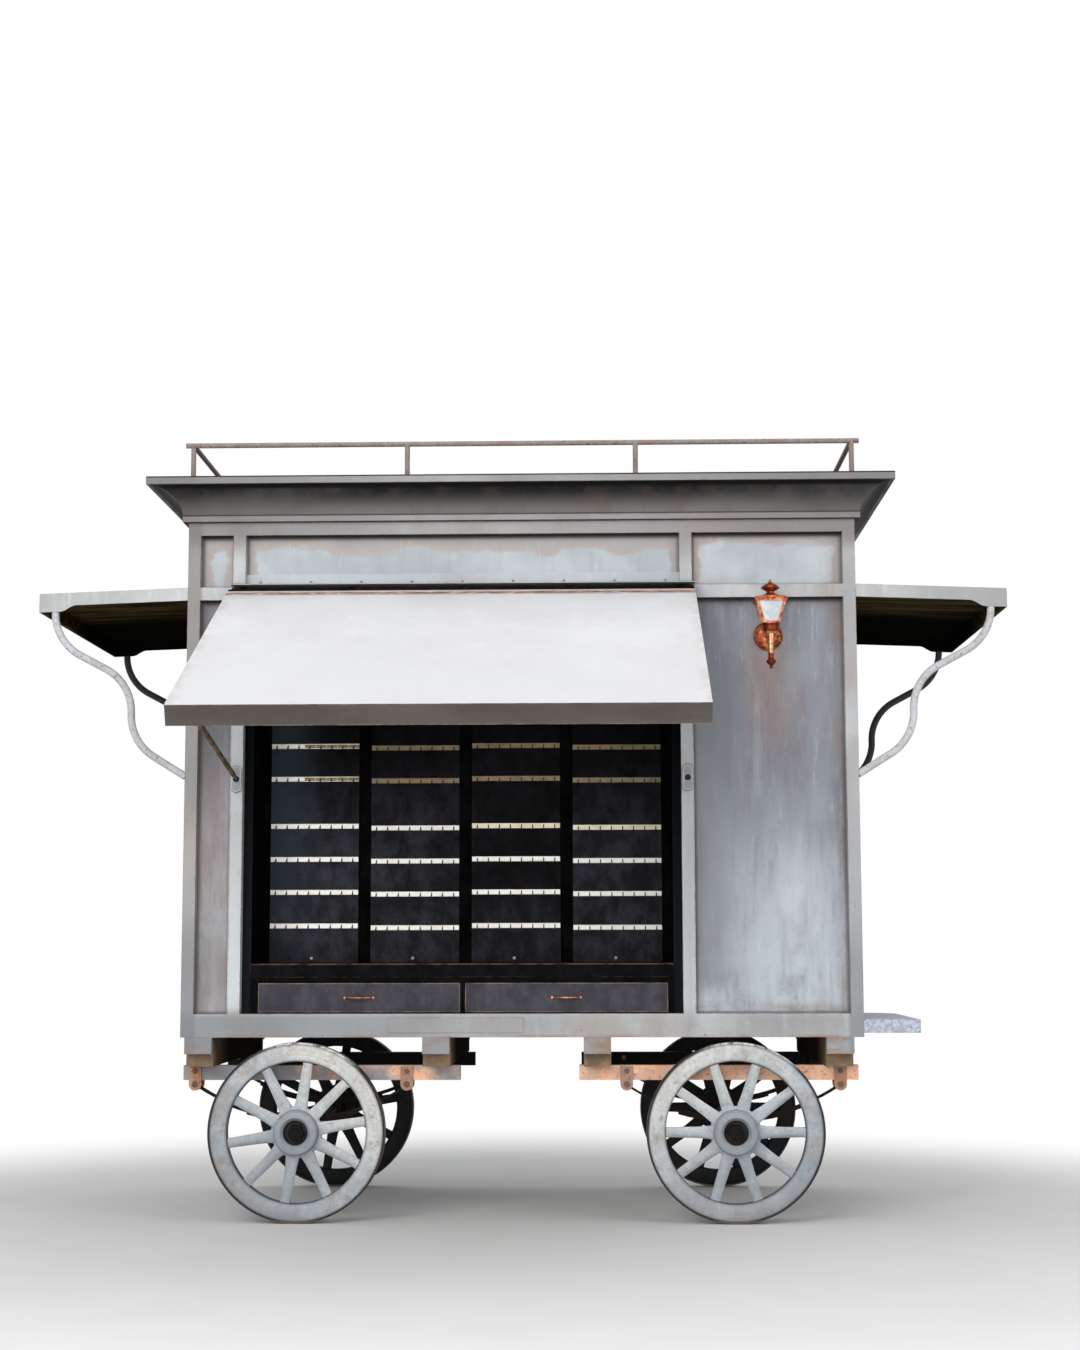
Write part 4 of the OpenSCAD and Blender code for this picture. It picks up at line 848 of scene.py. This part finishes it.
# Drawer pulls
# A copper bow on each drawer front: a flat foot at both ends, a thin neck, and a
# spindle that swells to a small bead in the middle.
def old_copper(name, bright, light, dark, stain):
    """Copper with brown oxide in its hollows and rubbed bright where it is touched."""
    mat = start_finish(name, 0.38, 0.85)
    colour = coats(mat, bright, (patches(mat, 0.42, 0.62, 0.02, detail=7.0, rough=0.7), light),
                   (patches(mat, 0.46, 0.6, 0.012, detail=8.0, rough=0.72, shift=4.0, share=stain), dark))
    rough = ease(mat, clouds(mat, 0.015, detail=6.0), 0.35, 0.7, 0.55, 0.26)
    return end_finish(mat, colour, rough, clouds(mat, 0.006, detail=5.0, rough=0.7), 0.0004)


pull_w, pull_out, foot_t = 0.11, 0.024, 0.006
bow_r = (pull_w ** 2 / 4 + pull_out ** 2) / (2 * pull_out)
half_bow = asin(pull_w / 2 / bow_r)
copper = old_copper("pull_copper", "#a86a50", "#d9a488", "#4b2a20", 0.5)
for side in ("left", "right"):
    low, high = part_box(side + "_pull")
    face_y = high.y
    middle = (low + high) / 2
    line, widths = [], []
    for k in range(65):
        t = -1 + 2 * k / 64
        a = half_bow * t
        line.append(Vector((middle.x + bow_r * sin(a), face_y - pull_out + bow_r - foot_t / 2
                            - bow_r * cos(a), middle.z)))
        swell = 0.0026 + 0.0024 * cos(pi * t / 2) ** 2
        bead = 0.001 * exp(-((t / 0.045) ** 2))
        foot_bead = 0.0022 * exp(-(((abs(t) - 0.93) / 0.05) ** 2))
        widths.append(swell + bead + foot_bead)
    shape = sweep(line, widths, 20)
    for end in (-1, 1):
        ring = bmesh.ops.create_cone(shape, segments=32, radius1=0.0085, radius2=0.0055, depth=foot_t,
                                     cap_ends=True)["verts"]
        foot_place = (middle.x + end * pull_w / 2, face_y - foot_t / 2, middle.z)
        move(shape, Matrix.Translation(foot_place) @ face_out, ring)
    pull = make_piece(side + "_bow_pull", shape, copper, 50)
    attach(pull, side + "_drawer")
    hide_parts(side + "_pull")


# Lamp
# A copper carriage lamp: a dished wall plate, an arm to a turned cup with a knobbed
# tail, a tapered lantern with milky panes, and a roof with arched eaves and a finial.
lamp = Vector((lamp_x, front_y - 0.1, 2.317))
panel_y = front_y + 0.045
lamp_copper = old_copper("lamp_copper", "#b05a34", "#e8a57a", "#43160d", 0.7)
plate_copper = old_copper("plate_copper", "#71331b", "#b56a42", "#30100a", 0.8)
dark_copper = old_copper("dark_copper", "#8a3a1e", "#c46e44", "#2e0e08", 0.7)
stem = old_copper("stem_copper", "#bb7c56", "#e2b28d", "#7c3a1c", 0.6)

plate = turned([(0, 0.013), (0.012, 0.0135), (0.024, 0.012), (0.036, 0.008), (0.046, 0.0062),
                (0.051, 0.0075), (0.0545, 0.0105), (0.057, 0.0105), (0.059, 0.008), (0.059, 0.0), (0, 0.0)])
for end in (-1, 1):
    head = bmesh.ops.create_uvsphere(plate, u_segments=16, v_segments=8, radius=0.005)["verts"]
    move(plate, Matrix.Translation((end * 0.0425, 0, 0.007)), head)
move(plate, Matrix.Translation((lamp.x, panel_y, lamp.z)) @ face_out)
wall_plate = make_piece("lamp_plate", plate, plate_copper, 50)
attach(wall_plate, "cart")
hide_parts("lamp_wall_plate")

dress("lamp_arm", stem)
height = point(stem)["Z"]
ends = larger(stem, ease(stem, height, lamp.z - 0.008, lamp.z + 0.002),
              ease(stem, height, lamp.z - 0.083, lamp.z - 0.09))
end_finish(stem, lay(stem, ends, coat_of(stem), "#6f2c16"))
dress("lantern_frame", lamp_copper, 0.0012)

glass_top, arch = 0.124, 0.007
roof_shape = bmesh.new()
rounds = []
roof_sections = [(-0.004, 0.061, 1.0, 1.0), (-0.006, 0.064, 1.0, 1.0), (0.0, 0.0655, 1.0, 1.0),
                 (0.005, 0.064, 1.0, 1.0), (0.009, 0.056, 0.92, 0.8), (0.014, 0.044, 0.75, 0.5),
                 (0.02, 0.03, 0.5, 0.25), (0.025, 0.021, 0.2, 0.0), (0.03, 0.016, 0.0, 0.0)]
for height, width, square, lift in roof_sections:
    ring = []
    for m in range(64):
        a = 2 * pi * m / 64
        corner = max(abs(cos(a)), abs(sin(a)))
        r = width / corner * square + width * (1 - square)
        along = min(abs(cos(a)), abs(sin(a))) / corner
        ring.append(roof_shape.verts.new((r * cos(a), r * sin(a),
                                          height + arch * lift * (1 - along ** 2))))
    rounds.append(ring)
skin(roof_shape, rounds)
finial = turned([(0, 0.024), (0.015, 0.026), (0.014, 0.034), (0.02, 0.039), (0.034, 0.046), (0.037, 0.05),
                 (0.0355, 0.0535), (0.03, 0.0585), (0.018, 0.066), (0.0085, 0.071), (0.006, 0.075),
                 (0.0058, 0.078), (0.003, 0.0795), (0.003, 0.084), (0.0015, 0.086), (0, 0.086)])
add_shape(roof_shape, finial)
move(roof_shape, Matrix.Translation(lamp + Vector((0, 0, glass_top))))
lantern_top = make_piece("lantern_top", roof_shape, dark_copper, 50)
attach(lantern_top, "cart")
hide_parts("lantern_roof")

pane = start_finish("milk_glass_finish", 0.35)
haze = patches(pane, 0.38, 0.66, 0.03)
end_finish(pane, lay(pane, haze, "#c9cfd4", "#e6eaee"), None, clouds(pane, 0.01), 0.0003)
pane.node_tree.nodes["Principled BSDF"].inputs["Transmission Weight"].default_value = 0.25
dress("lantern_panes", pane)
bulb = start_finish("bulb_finish", 0.3)
end_finish(bulb, lay(bulb, clouds(bulb, 0.02), "#e9e6df", "#f4f2ec"))
dress("lamp_bulb", bulb)


# Legs, cross beams and side bars
# Flat legs hang from the bottom rail in front of deep cross beams. Square side bars
# lie under them and carry the springs. Red-brown primer and rust show everywhere.
dress("legs", frame_paint("leg_finish", "#7f8284", "#9c9fa1", "#b3b7b9", "#8f8379", "#7a5541"), 0.002)
beam = start_finish("beam_finish", 0.9, gloss=0.0)
wood = coats(
    beam, "#6f6250", (patches(beam, 0.4, 0.62, 0.06, detail=8.0, rough=0.7), "#8a6f58"),
    # Painted shade: darker towards the back and black underneath.
    (ease(beam, point(beam)["Y"], front_y + 0.06, front_y + 0.45), "#2a241d"),
    (ease(beam, skyward(beam), -0.3, -0.7), "#0d0b09"))
end_finish(beam, wood, None, clouds(beam, 0.02, (1, 6, 1), 7.0), 0.0006)
dress("cross_beams", beam, 0.003)
bar = rusty_iron("bar_finish", "#f2cab0", "#eeaa80", "#8d5f47", 0.6)
spot = point(bar)
grey_share = times(bar, ease(bar, spot["X"], 0.45, -0.35),
                   patches(bar, 0.33, 0.53, 0.22, detail=7.0, shift=5.0))
end_finish(bar, coats(
    bar, coat_of(bar), (patches(bar, 0.48, 0.62, 0.1, (2, 1, 1), 8.0, 0.68, 2.0, share=0.32), "#8f6f5e"),
    # Painted shade: the bars are black towards the back.
    (grey_share, "#8e8c8f"), (ease(bar, spot["Y"], 0.25, 0.5), "#0d0b0a")))
dress("side_bars", bar, 0.004)


# Shackles, pins and springs
# Two plates at each end of a side bar hold a spring's eye on a bolt. Three curved
# leaves under each other are clamped to the axle.
shackle = rusty_iron("shackle_finish", "#a98a7a", "#a86d4a", "#4f3529", 0.6)
# Painted shade: the plates' inner parts are near black.
inward = ease(shackle, point(shackle)["Y"], 0.1, 0.4)
end_finish(shackle, lay(shackle, inward, coat_of(shackle), "#120e0c"))
dress("shackle_plates", shackle, 0.0015)
dress("shackle_pins", rusty_iron("pin_finish", "#6f5c52", "#6a4637", "#382a25", 0.5))
dress("leaf_springs", rusty_iron("spring_finish", "#241f1d", "#33231c", "#100d0c", 0.5, 0.85, 0.05), 0.0012)


# Axles and their nuts
# A round steel bar through each pair of wheels, with a six-sided nut on both ends,
# sunk in the nave. Both are black with grease.
axle_finish = rusty_iron("axle_finish", "#0e0d0c", "#1c1512", "#080707", 0.4, 0.7, 0.1)
dress("axles", axle_finish)
dress("axle_nuts", axle_finish, 0.001)


# Wheels
# Ten tapered wooden spokes between a turned nave and a felloe rim. Each spoke is
# chamfered between its shoulders, and the pale blue-grey paint is scratched to orange.
wheel_places = {"front_left": (-0.886, 0, 9), "front_right": (0.843, 0, 0),
                "rear_left": (-0.886, 1, 9), "rear_right": (0.843, 1, 0)}
hub_z = 0.35


def wheel_paint(name, x, rear):
    """Scratched pale paint with lines of dirt along each step, paler at the top towards the
    cart's middle. Painted light and shade make up-facing faces paler, down-facing ones
    darker and the rear wheels nearly black.
    """
    mat = start_finish(name, 0.6, gloss=0.3)
    spot = point(mat)
    across = sums(mat, "SUBTRACT", spot["X"], x)
    rise = sums(mat, "SUBTRACT", spot["Z"], hub_z)
    radius = distance(mat, across, rise)
    facing = skyward(mat)
    lean = 1.0 if x < 0 else -0.7
    diagonal = sums(mat, "ADD", times(mat, across, lean), rise)
    brown = times(mat, patches(mat, 0.5, 0.66, 0.09, detail=9.0, rough=0.72, shift=4.0),
                  ease(mat, radius, 0.24, 0.29, 0.55, 0.15))
    scratch = times(mat, near(mat, radius, (0.303, 0.322), 0.0016),
                    patches(mat, 0.5, 0.58, 0.15, detail=5.0, rough=0.7, shift=8.0))
    colour = coats(
        mat, "#9da4a9", (patches(mat, 0.38, 0.64, 0.12, detail=8.0, rough=0.65), "#b8bec2"),
        (patches(mat, 0.5, 0.68, 0.07, detail=8.0, rough=0.7, shift=3.0, share=0.5), "#ccd0d2"),
        # Painted light and shade: faces that look up are paler, faces that look down darker.
        (ease(mat, facing, -0.15, -0.7, 0.6), "#5f666d"),
        (ease(mat, facing, 0.15, 0.7, 0.5), "#dcdfe0"),
        (ease(mat, diagonal, -0.42, 0.25, 0.0, 0.55), "#727a82"),
        (ease(mat, diagonal, 0.05, 0.4, 0.6), "#d6d3ca"),
        (ease(mat, radius, 0.09, 0.086, 0.6), "#6f777e"),
        (patches(mat, 0.4, 0.62, 0.022, detail=8.0, rough=0.75, shift=9.0, share=0.35), "#858688"),
        (brown, "#8d7b6c"),
        (patches(mat, 0.56, 0.68, 0.04, detail=9.0, rough=0.75, shift=6.0, share=0.65), "#6b6764"),
        (near(mat, radius, (0.28, 0.341), 0.008), "#5d6166", 0.35), (scratch, "#c08a5c", 0.85),
        (near(mat, radius, (0.2755,), 0.005), "#3c4046", 0.8),
        (near(mat, radius, (0.0815, 0.0885), 0.0022), "#54585d", 0.5),
        (ease(mat, radius, 0.052, 0.046), "#070707"), (edge_wear_and_highlight(mat, 0.004, 40.0), "#5f5a58", 0.5))
    # Painted shade: the rear wheels are nearly black.
    if rear:
        colour = lay(mat, 0.96, colour, "#060607")
        mat.node_tree.nodes["Principled BSDF"].inputs["Specular IOR Level"].default_value = 0.1
    rough = ease(mat, clouds(mat, 0.06), 0.35, 0.7, 0.75, 0.5)
    return end_finish(mat, colour, rough, clouds(mat, 0.012, detail=6.0, rough=0.7), 0.0008)


def make_spoke():
    """One spoke along +X, its faces square to Z: wide at the nave, chamfered, narrow at the rim."""
    spoke_sections = [(0.084, 0.052, 0.034, 0.002), (0.104, 0.05, 0.034, 0.004), (0.128, 0.046, 0.032, 0.01),
                      (0.16, 0.043, 0.031, 0.012), (0.2, 0.041, 0.03, 0.012), (0.24, 0.039, 0.03, 0.012),
                      (0.262, 0.038, 0.031, 0.01), (0.272, 0.038, 0.032, 0.004), (0.28, 0.038, 0.032, 0.002)]
    shape = bmesh.new()
    rings = []
    for x, w, t, c in spoke_sections:
        y, z = w / 2, t / 2
        outline = [(y - c, z), (-y + c, z), (-y, z - c * 0.8), (-y, -z + c * 0.8),
                   (-y + c, -z), (y - c, -z), (y, -z + c * 0.8), (y, z - c * 0.8)]
        rings.append([shape.verts.new((x, a, b)) for a, b in outline])
    skin(shape, rings)
    bmesh.ops.recalc_face_normals(shape, faces=shape.faces)
    return shape


def make_wheel(turn):
    """A wheel about Z whose outer face looks along +Z, with the tyre's outer edge at z 0."""
    rim_profile = [(0.275, -0.011), (0.279, -0.0055), (0.284, -0.004), (0.339, -0.004), (0.343, -0.007),
                   (0.343, -0.053), (0.339, -0.056), (0.284, -0.056), (0.279, -0.0545), (0.275, -0.049),
                   (0.275, -0.011)]
    shape = turned(rim_profile, 120)
    for k in range(10):
        spoke = make_spoke()
        move(spoke, Matrix.Rotation(radians(turn + 36 * k), 4, "Z") @ Matrix.Translation((0, 0, -0.03)))
        add_shape(shape, spoke)
    collar = turned([(0.08, -0.015), (0.097, -0.015), (0.101, -0.019), (0.101, -0.041), (0.097, -0.045),
                     (0.08, -0.045)], 96)
    add_shape(shape, collar)
    nave_profile = [(0.0202, -0.012), (0.046, -0.012), (0.048, 0.004), (0.0485, 0.016), (0.052, 0.019),
                    (0.056, 0.0265), (0.059, 0.03), (0.08, 0.03), (0.085, 0.0275), (0.087, 0.023),
                    (0.087, 0.012), (0.0862, 0.01), (0.087, 0.008), (0.087, -0.088), (0.084, -0.095),
                    (0.0202, -0.095)]
    add_shape(shape, turned(nave_profile, 96))
    return shape


for name, (x, rear, turn) in wheel_places.items():
    shape = make_wheel(turn)
    wheel_finish = wheel_paint(name + "_finish", x, rear)
    face = Matrix.Scale(-1, 4, (0, 1, 0)) @ face_out if rear else face_out
    move(shape, Matrix.Translation((x, front_y + body_depth * rear, hub_z)) @ face)
    if rear:
        bmesh.ops.reverse_faces(shape, faces=shape.faces)
    wheel = make_piece(name + "_spoked_wheel", shape, wheel_finish, 45)
    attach(wheel, name + "_wheel")
    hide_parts("wheel_" + name)


# Tyres
# A flat iron band shrunk hot on each rim. It is dark at its sides, with a patchy painted
# highlight on top of the front tyres' tread, and dusty where it stands on the ground.
def tyre_iron(name, x, rear):
    mat = rusty_iron(name, "#2d2a29", "#3b2f29", "#171514", 0.5, 0.55)
    spot = point(mat)
    # A patchy painted highlight on top of the front tyres' tread.
    tread_highlight = patches(mat, 0.3, 0.6, 0.03, (1, 1, 1), 8.0, 0.7)
    if rear:
        tread_highlight = times(mat, tread_highlight, 0.05)
    else:
        tread_highlight = times(mat, tread_highlight, ease(mat, spot["Z"], 0.58, 0.66), ease(mat, spot["X"], x - 0.16, x - 0.04))
    foot_dirt = ease(mat, spot["Z"], 0.02, 0.004)
    return end_finish(mat, coats(mat, coat_of(mat), (tread_highlight, "#cfcdcb"), (foot_dirt, "#5d5046")))


for name, (x, rear, turn) in wheel_places.items():
    dress("tyre_" + name, tyre_iron("tyre_" + name + "_finish", x, rear), 0.0015)
